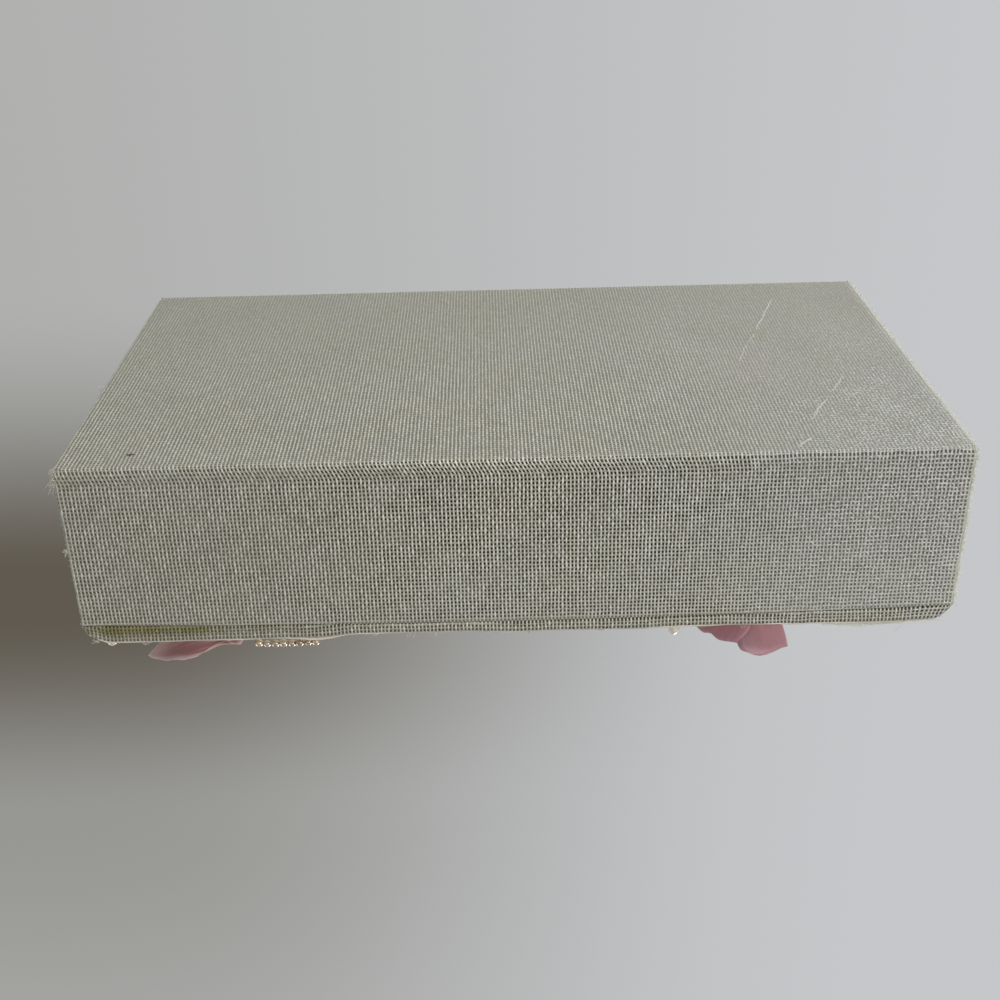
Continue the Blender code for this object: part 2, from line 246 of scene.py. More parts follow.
def noiseOf(tree, vector, scale, detail=2.0, roughness=0.5, output="Fac"):
    node = tree.nodes.new("ShaderNodeTexNoise")
    feedAll(tree, node.inputs, {"Vector": vector, "Scale": scale, "Detail": detail, "Roughness": roughness})
    return node.outputs[output]


def remap(tree, value, low, high, outLow=0.0, outHigh=1.0):
    node = tree.nodes.new("ShaderNodeMapRange")
    node.interpolation_type = "SMOOTHSTEP"
    for item, socket in zip((value, low, high, outLow, outHigh), node.inputs):
        feed(tree, item, socket)
    return node.outputs[0]


def mixColour(tree, share, a, b, kind="MIX"):
    node = tree.nodes.new("ShaderNodeMix")
    node.data_type = "RGBA"
    node.blend_type = kind
    for value, socket in zip((share, a, b), (node.inputs[0], node.inputs[6], node.inputs[7])):
        feed(tree, value, socket)
    return node.outputs[2]


def shadeBy(tree, colour, shade):
    return mixColour(tree, 1.0, colour, joinXyz(tree, shade, shade, shade), "MULTIPLY")


def mapOf(tree, layer):
    node = tree.nodes.new("ShaderNodeUVMap")
    node.uv_map = layer
    return node.outputs[0]


def placeOf(tree):
    return tree.nodes.new("ShaderNodeTexCoord").outputs["Object"]


def bumpFrom(tree, height, distance):
    node = tree.nodes.new("ShaderNodeBump")
    feedAll(tree, node.inputs, {"Strength": 1.0, "Distance": distance, "Height": height})
    return node.outputs[0]


def useGroup(tree, group, **values):
    node = tree.nodes.new("ShaderNodeGroup")
    node.node_tree = group
    feedAll(tree, node.inputs, values)
    return node.outputs


def newMaterial(name):
    material = bpy.data.materials.new(name)
    material.use_nodes = True
    tree = material.node_tree
    return material, tree, tree.nodes["Principled BSDF"].inputs


# shader groups

def buildWeaveGroup():
    # plain weave with open holes; Threads counts warp threads along x and weft threads along y
    group, source, target = newGroup(
        "openWeave", {"Threads": None, "WarpWidth": 0.6, "WeftWidth": 0.5, "Waver": 0.3},
        ("Thread", "Warp", "Height", "Tone"))
    u0, v0, _ = splitXyz(group, source["Threads"])
    shift = noiseOf(group, joinXyz(group, times(group, u0, 0.22), times(group, v0, 0.34)), 1.0, detail=3.0,
                    output="Color")
    shiftU, shiftV, _ = splitXyz(group, shift)
    u = timesPlus(group, minus(group, shiftU, 0.5), source["Waver"], u0)
    v = timesPlus(group, minus(group, shiftV, 0.5), source["Waver"], v0)

    def threadSet(along, across, width, sign, base):
        # across picks the thread and its profile, along runs down it
        index = calc(group, "FLOOR", across)
        centre = minus(group, calc(group, "FRACT", across), 0.5)
        tone = noiseOf(group, joinXyz(group, times(group, along, 0.27), times(group, index, 5.37), sign), 1.0,
                       detail=3.0, roughness=0.7)
        own = times(group, width, timesPlus(group, tone, 0.9, 0.55))
        side = calc(group, "DIVIDE", calc(group, "ABSOLUTE", centre), times(group, own, 0.5))
        mask = remap(group, side, 1.10, 0.90)
        crown = calc(group, "SQRT", larger(group, minus(group, 1.0, times(group, side, side)), 0.0))
        parity = minus(group, 1.0, times(group, calc(group, "PINGPONG", index, 1.0), 2.0))
        swing = calc(group, "COSINE", times(group, minus(group, along, 0.5), math.pi))
        lift = times(group, parity, times(group, sign, swing))
        height = times(group, mask, plus(group, timesPlus(group, lift, 0.09, base), times(group, crown, 0.3)))
        return mask, height, tone

    warpMask, warpHeight, warpTone = threadSet(v, u, source["WarpWidth"], 1.0, 0.60)
    weftMask, weftHeight, weftTone = threadSet(u, v, source["WeftWidth"], -1.0, 0.50)
    onTop = timesPlus(group, minus(group, warpHeight, weftHeight), 5.0, 0.5, clamp=True)
    tone = plus(group, times(group, warpTone, onTop), times(group, weftTone, minus(group, 1.0, onTop)))
    feedAll(group, target, {"Thread": larger(group, warpMask, weftMask), "Warp": onTop,
                            "Height": larger(group, warpHeight, weftHeight), "Tone": tone})
    return group


def buildMottleGroup():
    # slow patches of lighter and darker cloth, about 1 on average
    group, source, target = newGroup("softMottle", {"Place": None, "Scale": 40.0, "Amount": 0.15},
                                     ("Shade", "Fine"))
    slow = noiseOf(group, source["Place"], source["Scale"], detail=4.0, roughness=0.6)
    fast = noiseOf(group, source["Place"], times(group, source["Scale"], 14.0), detail=3.0, roughness=0.7)
    both = plus(group, times(group, slow, 0.7), times(group, fast, 0.3))
    swing = times(group, minus(group, both, 0.5), source["Amount"])
    feedAll(group, target, {"Shade": timesPlus(group, swing, 2.0, 1.0), "Fine": fast})
    return group


def buildGlintGroup():
    # scattered bright specks, where a metallic filament turns to the light: a mask for painted highlights
    group, source, target = newGroup("filamentGlint", {"Place": None, "Scale": 1.0, "Rarity": 0.6}, ("Mask",))
    fine = noiseOf(group, source["Place"], source["Scale"], detail=0.0)
    patch = noiseOf(group, source["Place"], times(group, source["Scale"], 0.06), detail=1.0)
    edge = minus(group, source["Rarity"], times(group, minus(group, patch, 0.5), 0.25))
    feed(group, remap(group, fine, edge, plus(group, edge, 0.06)), target["Mask"])
    return group


def buildSatinGroup():
    # fine diagonal floats of a satin weave, with a slow slub
    group, source, target = newGroup("satinFloats", {"Place": None, "Pitch": 0.0004}, ("Height", "Shade"))
    x, y, z = splitXyz(group, source["Place"])
    rise = plus(group, y, z)
    across = calc(group, "DIVIDE", plus(group, x, times(group, rise, 0.6)), source["Pitch"])
    along = calc(group, "DIVIDE", minus(group, rise, times(group, x, 0.6)), source["Pitch"])
    ridge = calc(group, "SINE", times(group, across, math.tau))
    floats = noiseOf(group, joinXyz(group, across, times(group, along, 0.12)), 1.0)
    slub = noiseOf(group, source["Place"], 90.0, detail=4.0, roughness=0.65)
    height = plus(group, timesPlus(group, ridge, 0.12, 0.3), times(group, floats, 0.5))
    shade = plus(group, timesPlus(group, floats, 0.16, 0.82), times(group, slub, 0.2))
    feedAll(group, target, {"Height": height, "Shade": shade})
    return group


def buildStreakGroup():
    # streaks and fine threads along a petal; Petal is across in x and along in y
    group, source, target = newGroup(
        "petalStreaks", {"Petal": None, "Count": 7.0, "Lean": 0.0, "RimStart": 0.955},
        ("Streak", "Rim", "Height"))
    side, along, _ = splitXyz(group, source["Petal"])
    across = timesPlus(group, along, source["Lean"], side)
    wide = joinXyz(group, times(group, across, source["Count"]), times(group, along, 1.3))
    across = times(group, across, times(group, source["Count"], 7.0))
    narrow = joinXyz(group, across, times(group, along, 3.0))
    broad, fine = [noiseOf(group, place, 1.0) for place in (wide, narrow)]
    streak = remap(group, plus(group, times(group, broad, 0.75), times(group, fine, 0.25)), 0.5, 0.64)
    edge = larger(group, calc(group, "ABSOLUTE", side), along)
    rim = remap(group, timesPlus(group, minus(group, fine, 0.5), 0.05, edge), source["RimStart"], 1.0)
    # one side is paler than the other
    pale = remap(group, minus(group, times(group, fine, 0.5), side), 0.62, 1.15)
    height = timesPlus(group, broad, 0.6, times(group, fine, 0.4))
    feedAll(group, target, {"Streak": streak, "Rim": larger(group, rim, pale), "Height": height})
    return group


weaveGroup = buildWeaveGroup()
mottleGroup = buildMottleGroup()
glintGroup = buildGlintGroup()
satinGroup = buildSatinGroup()
streakGroup = buildStreakGroup()
print("shader groups built")


# materials

coverFinish = {
    "warp": (0.83, 0.825, 0.745, 1), "weft": (0.49, 0.475, 0.375, 1), "hole": (0.020, 0.012, 0.005, 1),
    "flat": (0.49, 0.485, 0.428, 1), "silverAndLight": (0.675, 0.70, 0.70, 1), "glint": (0.97, 0.965, 0.94, 1),
    "edge": (0.72, 0.71, 0.58, 1), "bleachedAndLit": (0.88, 0.87, 0.765, 1), "grimeAndShade": (0.50, 0.47, 0.27, 1),
    "stain": (0.56, 0.49, 0.45, 1), "warm": (1.006, 1.004, 0.984, 1), "cool": (0.996, 0.998, 1.008, 1),
    "warpWidth": 0.45, "weftWidth": 0.43, "waver": 0.40, "depth": 0.22 * mm,      # widths in thread pitches
    "patchScale": 150.0, "patchRange": (0.90, 1.10), "tintScale": 48.0, "mottleScale": 28.0, "mottle": 0.12,
    "glintScale": 1.5, "glintRarity": 0.80, "glintGain": 0.29,
    "stainPlace": (0.070, 0.010, 0.0), "stainReach": 0.020, "stainShare": 0.35,
}


def coverMaterial(name, settings):
    # touch map: x is how open the weave looks, and so how much painted shade lies in its holes, y how close a
    # cut or worn edge is
    # shine map: x is how many filaments glint and how far the yarn turns silver; y how pale the cloth is,
    # from bleaching in some places and painted light in others, and below 0 how much darker, from grime in
    # some places and painted shade in others
    material, tree, shader = newMaterial(name)
    threads = mapOf(tree, "threads")
    place = placeOf(tree)
    openness, edge, _ = splitXyz(tree, mapOf(tree, "touch"))
    shine, bleachGrimeAndLight, _ = splitXyz(tree, mapOf(tree, "shine"))
    x, y, z = splitXyz(tree, place)
    stretched = joinXyz(tree, times(tree, x, 0.5), y, times(tree, z, 1.8))
    patches = noiseOf(tree, stretched, settings["patchScale"])
    openness = times(tree, openness, remap(tree, patches, 0.35, 0.65, *settings["patchRange"]))
    weave = useGroup(tree, weaveGroup, Threads=threads, WarpWidth=settings["warpWidth"],
                     WeftWidth=settings["weftWidth"], Waver=timesPlus(tree, shine, 0.35, settings["waver"]))
    mottle = useGroup(tree, mottleGroup, Place=place, Scale=settings["mottleScale"],
                      Amount=settings["mottle"])
    # yarn: flatter where the weave is closed, silvery where filaments show, a tone that also stands in as
    # painted light brightening the right end, and warmer and cooler in patches
    contrast = timesPlus(tree, openness, 0.85, 0.15)
    yarn = mixColour(tree, weave["Warp"], settings["weft"], settings["warp"])
    yarn = mixColour(tree, contrast, settings["flat"], yarn)
    silverAndLight = times(tree, shine, timesPlus(tree, openness, 0.62, 0.14))
    silverAndLight = times(tree, silverAndLight, timesPlus(tree, weave["Warp"], times(tree, openness, -0.4), 1.0))
    yarn = mixColour(tree, silverAndLight, yarn, settings["silverAndLight"])
    warmth = remap(tree, noiseOf(tree, place, settings["tintScale"]), 0.38, 0.62)
    yarn = mixColour(tree, 1.0, yarn, mixColour(tree, warmth, settings["warm"], settings["cool"]), "MULTIPLY")
    # painted light and shade on the rounded threads, lighter on their crowns and darker at their sides, with
    # thick and thin places, and a warmer painted shade where light reaches less far down
    tone = remap(tree, weave["Tone"], 0.3, 0.7, 0.84, 1.14)
    crown = remap(tree, weave["Height"], 0.45, 1.0, 0.62, 1.12)
    level = timesPlus(tree, minus(tree, times(tree, tone, crown), 0.9), contrast, 0.9)
    u, v, _ = splitXyz(tree, threads)
    slub = noiseOf(tree, joinXyz(tree, u, times(tree, v, 0.8)), 0.8, roughness=0.6)
    level = times(tree, level, times(tree, mottle["Shade"], remap(tree, slub, 0.3, 0.7, 0.93, 1.07)))
    deep = joinXyz(tree, level, calc(tree, "POWER", level, 1.06), calc(tree, "POWER", level, 1.3))
    base = mixColour(tree, 1.0, yarn, deep, "MULTIPLY")
    # the holes show dark glue and board beneath, darkened further with painted shade
    gap = times(tree, minus(tree, 1.0, weave["Thread"]), calc(tree, "POWER", openness, 0.8))
    base = mixColour(tree, gap, base, settings["hole"])
    # a faint stain, bleached and worn threads, grime, and the painted light and painted shade that the shine
    # map carries
    distance = tree.nodes.new("ShaderNodeVectorMath")
    distance.operation = "DISTANCE"
    feed(tree, place, distance.inputs[0])
    feed(tree, settings["stainPlace"], distance.inputs[1])
    stain = remap(tree, distance.outputs["Value"], settings["stainReach"], 0.0)
    stain = times(tree, times(tree, stain, settings["stainShare"]), remap(tree, mottle["Fine"], 0.3, 0.6))
    base = mixColour(tree, stain, base, settings["stain"])
    base = mixColour(tree, times(tree, bleachGrimeAndLight, weave["Thread"], clamp=True), base, settings["bleachedAndLit"])
    base = mixColour(tree, times(tree, edge, remap(tree, mottle["Fine"], 0.35, 0.6)), base, settings["edge"])
    grimyAndShaded = mixColour(tree, 1.0, base, settings["grimeAndShade"], "MULTIPLY")
    base = mixColour(tree, larger(tree, times(tree, bleachGrimeAndLight, -1.0), 0.0), base, grimyAndShaded)
    # filaments lie at all angles, so only some of them catch the light; those specks are painted near white
    # as highlights, besides the coat's own reflection
    gain = times(tree, calc(tree, "POWER", shine, 2.0), settings["glintGain"])
    rarity = minus(tree, settings["glintRarity"], gain)
    glint = useGroup(tree, glintGroup, Place=threads, Scale=settings["glintScale"], Rarity=rarity)
    spark = times(tree, glint["Mask"], weave["Thread"])
    facets = times(tree, spark, noiseOf(tree, threads, 6.0, detail=1.0))
    height = timesPlus(tree, facets, 2.2, weave["Height"])
    feedAll(tree, shader, {
        "Base Color": mixColour(tree, spark, base, settings["glint"]), "Metallic": times(tree, spark, 0.15),
        "Roughness": timesPlus(tree, spark, -0.50, 0.80), "Normal": bumpFrom(tree, height, settings["depth"]),
        "Coat Weight": spark, "Coat Roughness": 0.22, "Specular IOR Level": 0.25,
        "Sheen Weight": 0.04, "Sheen Roughness": 0.5})
    return material


satinFinish = {
    "liningSatin": {"colour": (0.76, 0.70, 0.58, 1), "shadow": (0.56, 0.50, 0.40, 1), "roughness": 0.42},
    "ivorySatin": {"colour": (0.80, 0.75, 0.64, 1), "shadow": (0.62, 0.56, 0.46, 1), "roughness": 0.38},
}


def satinMaterial(name):
    material, tree, shader = newMaterial(name)
    finish = satinFinish[name]
    place = placeOf(tree)
    floats = useGroup(tree, satinGroup, Place=place, Pitch=0.4 * mm)
    mottle = useGroup(tree, mottleGroup, Place=place, Scale=22.0, Amount=0.1)
    level = remap(tree, times(tree, floats["Shade"], mottle["Shade"]), 0.8, 1.05)
    rough, fine = finish["roughness"] + 0.1, finish["roughness"] - 0.06
    feedAll(tree, shader, {
        "Base Color": mixColour(tree, level, finish["shadow"], finish["colour"]),
        "Roughness": remap(tree, floats["Height"], 0.2, 0.8, rough, fine),
        "Normal": bumpFrom(tree, floats["Height"], 0.08 * mm), "Sheen Weight": 0.25, "Sheen Roughness": 0.35})
    return material


# count is how many streaks lie across a petal, lean how far they slant and rimStart where the pale rim begins
petalFinish = {
    "palePinkCloth": {"colour": (0.45, 0.21, 0.235, 1), "streak": (0.74, 0.58, 0.56, 1),
                      "shadow": (0.35, 0.15, 0.17, 1), "count": 3.0, "lean": 3.0, "rimStart": 0.89,
                      "slot": "pale_pink_cloth"},
    "dustyPinkCloth": {"colour": (0.50, 0.25, 0.305, 1), "streak": (0.58, 0.355, 0.41, 1),
                       "shadow": (0.43, 0.21, 0.24, 1), "count": 5.0, "slot": "dusty_pink_cloth"},
    "creamCloth": {"colour": (0.74, 0.66, 0.53, 1), "streak": (0.86, 0.82, 0.72, 1),
                   "shadow": (0.52, 0.44, 0.33, 1), "slot": "cream_cloth"},
    "sageCloth": {"colour": (0.24, 0.27, 0.16, 1), "streak": (0.44, 0.46, 0.32, 1),
                  "shadow": (0.13, 0.15, 0.08, 1), "count": 9.0, "slot": "sage_cloth"},
}


def petalMaterial(name):
    material, tree, shader = newMaterial(name)
    finish = petalFinish[name]
    petal = mapOf(tree, "petal")
    lines = useGroup(tree, streakGroup, Petal=petal, Count=finish.get("count", 7.0),
                     Lean=finish.get("lean", 0.0), RimStart=finish.get("rimStart", 0.955))
    _, along, _ = splitXyz(tree, petal)
    mottle = useGroup(tree, mottleGroup, Place=placeOf(tree), Scale=70.0, Amount=0.2)
    base = mixColour(tree, remap(tree, along, 0.0, 0.5), finish["shadow"], finish["colour"])
    base = mixColour(tree, times(tree, lines["Streak"], 0.75), base, finish["streak"])
    base = shadeBy(tree, base, mottle["Shade"])
    base = mixColour(tree, times(tree, lines["Rim"], 0.8), base, finish["streak"])
    feedAll(tree, shader, {
        "Base Color": base, "Roughness": remap(tree, mottle["Fine"], 0.3, 0.7, 0.48, 0.7),
        "Normal": bumpFrom(tree, lines["Height"], 0.15 * mm), "Sheen Weight": 0.4, "Sheen Roughness": 0.4,
        "Subsurface Weight": 0.12, "Subsurface Radius": (1.2 * mm, 0.6 * mm, 0.5 * mm)})
    return material


def boardMaterial():
    # pressed board, with short fibres
    material, tree, shader = newMaterial("pressedBoard")
    place = placeOf(tree)
    mottle = useGroup(tree, mottleGroup, Place=place, Scale=60.0, Amount=0.3)
    fibre = noiseOf(tree, place, 2600.0, detail=3.0, roughness=0.7)
    base = mixColour(tree, remap(tree, fibre, 0.35, 0.65), (0.22, 0.20, 0.165, 1), (0.40, 0.37, 0.31, 1))
    feedAll(tree, shader, {
        "Base Color": shadeBy(tree, base, mottle["Shade"]),
        "Roughness": remap(tree, fibre, 0.3, 0.7, 0.82, 0.96), "Normal": bumpFrom(tree, fibre, 0.05 * mm)})
    return material


def beadMaterial():
    # pale gold glass over a bronze lining
    material, tree, shader = newMaterial("goldLinedBead")
    mottle = useGroup(tree, mottleGroup, Place=placeOf(tree), Scale=240.0, Amount=0.5)
    depth = remap(tree, mottle["Shade"], 0.86, 1.14)
    feedAll(tree, shader, {
        "Base Color": mixColour(tree, depth, (0.27, 0.185, 0.10, 1), (0.62, 0.515, 0.36, 1)),
        "Metallic": remap(tree, mottle["Fine"], 0.3, 0.7, 0.35, 0.65),
        "Roughness": remap(tree, mottle["Fine"], 0.3, 0.7, 0.10, 0.2),
        "Coat Weight": 1.0, "Coat Roughness": 0.03, "IOR": 1.52})
    return material


def pearlMaterial():
    # cream in the middle and rosy towards the rim
    material, tree, shader = newMaterial("pearlLustre")
    mottle = useGroup(tree, mottleGroup, Place=placeOf(tree), Scale=260.0, Amount=0.12)
    facing = tree.nodes.new("ShaderNodeLayerWeight")
    feed(tree, 0.35, facing.inputs["Blend"])
    base = mixColour(tree, facing.outputs["Facing"], (0.86, 0.81, 0.72, 1), (0.74, 0.63, 0.60, 1))
    feedAll(tree, shader, {
        "Base Color": shadeBy(tree, base, mottle["Shade"]),
        "Roughness": remap(tree, mottle["Fine"], 0.3, 0.7, 0.16, 0.26),
        "Coat Weight": 0.6, "Coat Roughness": 0.08,
        "Subsurface Weight": 0.1, "Subsurface Radius": (1.0 * mm, 0.8 * mm, 0.6 * mm)})
    return material


yarnFinish = {
    "looseYarn": {"colour": (0.80, 0.77, 0.68, 1), "shadow": (0.58, 0.55, 0.46, 1)},
    "paleFringe": {"colour": (0.87, 0.88, 0.76, 1), "shadow": (0.72, 0.74, 0.60, 1)},
    "darkFleck": {"colour": (0.06, 0.052, 0.04, 1), "shadow": (0.02, 0.017, 0.012, 1)},
    "silverFilament": {"colour": (0.98, 0.97, 0.95, 1), "shadow": (0.70, 0.69, 0.66, 1), "metallic": 0.35,
                       "roughness": 0.35},
}


def yarnMaterial(name):
    material, tree, shader = newMaterial(name)
    finish = yarnFinish[name]
    roughness = finish.get("roughness", 0.7)
    mottle = useGroup(tree, mottleGroup, Place=placeOf(tree), Scale=500.0, Amount=0.4)
    depth = remap(tree, mottle["Fine"], 0.3, 0.7)
    feedAll(tree, shader, {
        "Base Color": mixColour(tree, depth, finish["shadow"], finish["colour"]),
        "Roughness": remap(tree, mottle["Fine"], 0.3, 0.7, roughness - 0.08, roughness + 0.08),
        "Metallic": finish.get("metallic", 0.0)})
    return material


coverCloth = coverMaterial("coverCloth", coverFinish)
liningSatin, ivorySatin = [satinMaterial(name) for name in satinFinish]
petalCloths = {name: petalMaterial(name) for name in petalFinish}
pressedBoard = boardMaterial()
goldBead = beadMaterial()
pearlLustre = pearlMaterial()
looseYarn, paleFringe, darkFleck, silverFilament = [yarnMaterial(name) for name in yarnFinish]
print("materials built")


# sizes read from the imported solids

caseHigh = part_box("case_cloth")[1]
wallLow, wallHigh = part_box("wall_cloth")
lidLow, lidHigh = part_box("lid_cloth")
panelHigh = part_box("satin_panel")[1]
linerLow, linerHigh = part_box("hinge_liner")
hingeLow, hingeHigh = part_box("hinge_cloth")
halfLength = caseHigh.x
halfDepth = caseHigh.y
warpCount = 233                                  # threads over the length of the box
pitchWarp = 2 * halfLength / warpCount
pitchWeft = 1.16 * mm

coverSheet = {"thickness": 0.45 * mm, "roll": 0.55 * mm, "grid": 2.2 * mm, "edgeReach": 0.7 * mm}


def skewAt(x):
    # how far the warp leans to +X between the fold and the foot of the skewed band
    share = (x + halfLength) / (2 * halfLength)
    lean = blendValue(*caseShape["skew"], smooth(share, 0.05, 0.42))
    return lean * (1 - smooth(share, 0.55, 0.92))


def threadsAt(x, along, skew=0.0):
    return ((x + halfLength - skew) / pitchWarp, along / pitchWeft)


pressedLine = {"height": 46.65 * mm, "bow": 1.6 * mm, "tilt": 0.2 * mm, "reach": 112 * mm}


def hingeLine(x):
    # height of the pressed line between spine and lid, which bows a little towards the lid
    share = x / pressedLine["reach"]
    bow = pressedLine["bow"] * max(0.0, 1 - share ** 2)
    return pressedLine["height"] + bow + pressedLine["tilt"] * share


def sideColumns():
    # x values across the box, with extra ones where the cloth rolls over at both ends
    roll = coverSheet["roll"]
    inner = steps(-halfLength + roll, halfLength - roll, coverSheet["grid"])
    turns = [math.pi / 2 * i / 4 for i in range(5)]
    left = [(-halfLength + roll * (1 - math.sin(a)), roll * (1 - math.cos(a))) for a in reversed(turns[1:])]
    right = [(halfLength - roll * (1 - math.sin(a)), roll * (1 - math.cos(a))) for a in turns[1:]]
    return left + [(x, 0.0) for x in inner] + right


# the cover cloth of underside and spine

# three values stand for the left end, the middle and the right end
caseShape = {
    "foldLeast": 0.75 * mm, "foldMost": 1.5 * mm, "foldSteps": 8, "bandFoot": 5.0 * mm,
    "bandDent": 0.22 * mm, "bandSwell": 0.12 * mm, "skew": (1.1 * mm, 2.0 * mm), "sunk": 0.12 * mm,
    "creaseY": -2.0 * mm, "crease": 0.14 * mm, "lip": 0.35 * mm, "lipGap": 0.1 * mm,
    "farCorner": 2.2 * mm, "nearCorner": 1.3 * mm,
    "farOpen": (0.10, 0.18, 0.04), "nearOpen": (0.47, 0.53, 0.19), "spineOpen": (0.66, 1.0, 0.64),
    # a band on the spine that grows paler towards the hinge and the underside's paler front side are painted
    # light, and the underside's darker side towards the fold is painted shade
    "endPale": 0.28, "lipPale": 0.4, "spineLight": 0.20, "foldPale": 0.08, "farLight": 0.03, "nearShade": 0.065,
}


def acrossBox(x, values):
    # blends from the left value over the middle one to the right one
    left, middle, right = values
    return blendValue(blendValue(left, middle, smooth(x, -0.09, -0.01)), right, smooth(x, 0.02, 0.095))


def drawIn(point, corner, radius, axes):
    # a point past the rounding of a corner is brought back on to it
    outward = Vector((0, 0, 0))
    for axis in axes:
        side = math.copysign(1, corner[axis]) if corner[axis] else -1
        middle = corner[axis] - side * radius
        outward[axis] = max(0.0, (point[axis] - middle) * side) * side
    if all(outward[axis] for axis in axes) and outward.length > radius:
        point -= outward * (1 - radius / outward.length)
    return point


def caseSection(kind, value, radius, top):
    # y and z of a point of the section, its outward direction and the way along the cloth
    roll, widest, lip = coverSheet["roll"], caseShape["foldMost"], caseShape["lip"]
    length = 2 * halfDepth
    if kind == "front":
        turn = math.pi / 2 * (1 - value)
        y, z = -halfDepth + roll * (1 - math.sin(turn)), roll * (1 - math.cos(turn))
        return y, z, Vector((0, -math.sin(turn), -math.cos(turn))), roll * value
    if kind == "flat":
        return value, 0.0, Vector((0, 0, -1)), value + halfDepth
    if kind == "spine":
        z = blendValue(widest, top - lip, value)
        return halfDepth, z, Vector((0, 1, 0)), length + z
    turn = math.pi / 2 * value
    if kind == "lip":
        y, z = halfDepth - lip * (1 - math.cos(turn)), top - lip + lip * math.sin(turn)
        return y, z, Vector((0, math.cos(turn), math.sin(turn))), length + z
    # a straight run before and after the arc, where the fold is tighter than its widest
    spare = widest - radius
    y = halfDepth - widest + spare * smooth(value, 0.0, 0.3) + radius * math.sin(turn)
    z = radius * (1 - math.cos(turn)) + spare * smooth(value, 0.7, 1.0)
    return y, z, Vector((0, math.sin(turn), -math.cos(turn))), length - widest + 2 * widest * value


def caseSoftness(kind, x, y, z):
    # how far the cloth stands out: a dent and a swell along the skewed band, a crease on the underside
    soft = wave((x, y, z), 0.035, 1) * 0.10 * mm + wave((x, y, z), 0.009, 2) * 0.025 * mm
    if kind == "spine":
        band = caseShape["bandFoot"] * (1 - 0.12 * smooth(x, -0.02, 0.06))
        soft -= caseShape["bandDent"] * bump(z, band, 0.7 * mm) * (1 - smooth(x, -0.035, 0.0))
        soft += caseShape["bandSwell"] * bump(z, band * 0.5, 1.6 * mm)
    if kind == "flat":
        crease = caseShape["crease"] * bump(y, caseShape["creaseY"], 1.3 * mm) * (1 - smooth(x, -0.07, -0.02))
        soft = abs(soft) * 0.6 - caseShape["sunk"] - crease
    if kind in ("front", "lip"):
        soft *= 0.3
    return soft


def caseOpenness(x, y, past, top):
    # past is how far beyond the fold the place lies
    underside = [acrossBox(x, caseShape[key]) for key in ("farOpen", "nearOpen")]
    openness = blendValue(*underside, smooth(y, -halfDepth, halfDepth))
    openness = blendValue(openness, acrossBox(x, caseShape["spineOpen"]), smooth(past, -0.8 * mm, 0.9 * mm))
    lowBand = smooth(past, 10 * mm, 40 * mm)
    openness *= 1 - lowBand * (0.13 * bump(x, 0.0, 0.055) + 0.12 * smooth(x, 0.03, 0.09))
    return openness * (1 - 0.6 * smooth(past, top - 1.5 * mm, top - 0.5 * mm))


def caseShine(kind, x, y, z, top):
    # filaments, most of them at the right end, and pale cloth at the frayed right end, the lip and the fold;
    # painted light makes the spine paler towards the hinge, most at the right, and the underside paler
    # towards its front, and painted shade darkens the underside towards the fold
    rightEnd = smooth(x, -0.005, 0.108) * blendValue(0.55, 1.0, smooth(y, -halfDepth, halfDepth))
    pale = caseShape["endPale"] * smooth(x, halfLength - 2.2 * mm, halfLength - 0.4 * mm)
    pale = max(pale, caseShape["lipPale"] * smooth(z, top - 1.2 * mm, top - 0.3 * mm))
    spineLight = caseShape["spineLight"] * blendValue(1.0, 1.5, smooth(x, 0.03, 0.09))
    pale = max(pale, spineLight * smooth(z, 12 * mm, 44 * mm) * smooth(x, -0.07, 0.02))
    if kind == "fold":
        pale = max(pale, caseShape["foldPale"] * rightEnd)
    if kind == "flat":
        pale += caseShape["farLight"] * (1 - smooth(y, -halfDepth, 0.0))
        pale -= (caseShape["nearShade"] + 0.07 * rightEnd) * smooth(y, -0.01, halfDepth)
    # the middle of the spine towards the hinge gets more filaments, and with them more silver tone and
    # glints, as painted light and highlights
    if kind == "spine":
        rightEnd = min(1.0, rightEnd + 0.12 * smooth(z, 10 * mm, 40 * mm) * bump(x, 0.01, 0.05))
    return rightEnd, pale


def buildCaseCloth():
    columns, widest, count = sideColumns(), caseShape["foldMost"], caseShape["foldSteps"]
    length, longest = 2 * halfDepth, hingeLine(0)
    flatRows = steps(-halfDepth + coverSheet["roll"], halfDepth - widest, coverSheet["grid"])
    plan = [("front", i / 4) for i in range(4)] + [("flat", y) for y in flatRows]
    plan += [("fold", i / count) for i in range(1, count)]
    plan += [("spine", z / longest) for z in steps(0.0, longest, 1.3 * mm)]
    plan += [("lip", i / 3) for i in range(1, 4)]
    cells = []
    for kind, value in plan:
        row = []
        for x, inward in columns:
            radius = blendValue(caseShape["foldLeast"], widest, bump(x, -0.02, 0.07))
            top = hingeLine(x) - caseShape["lipGap"]
            y, z, normal, along = caseSection(kind, value, radius, top)
            point = Vector((x, y, z)) - normal * (inward - caseSoftness(kind, x, y, z))
            side = math.copysign(1, x)
            point = drawIn(point, (side * halfLength, -halfDepth), caseShape["farCorner"], (0, 1))
            point = drawIn(point, (side * halfLength, halfDepth, 0), caseShape["nearCorner"], (0, 1, 2))
            past = along - length
            lean = skewAt(x) * smooth(past, 0.0, caseShape["bandFoot"])
            end = smooth(abs(x), halfLength - coverSheet["edgeReach"], halfLength - 0.1 * mm)
            row.append((point, threadsAt(x + side * inward, along, lean),
                        (caseOpenness(x, y, past, top), end), caseShine(kind, x, y, z, top)))
        cells.append(row)
    mesh = clothMesh("case_sheet", cells, flip=True)
    piece = thicken(addPiece("case_sheet", mesh, coverCloth), coverSheet["thickness"])
    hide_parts("case_cloth")
    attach(piece, "tray")


buildCaseCloth()
print("case cloth done")


# the cover cloth of the three other walls, turned over the rim

wallShape = {"corner": 1.4 * mm, "cornerSteps": 5, "rim": 0.9 * mm, "rimSteps": 5, "pitch": 2.4 * mm,
             "turnedIn": 3.6 * mm, "turnedFrom": 33.4 * mm, "open": 0.9, "shine": 0.25}


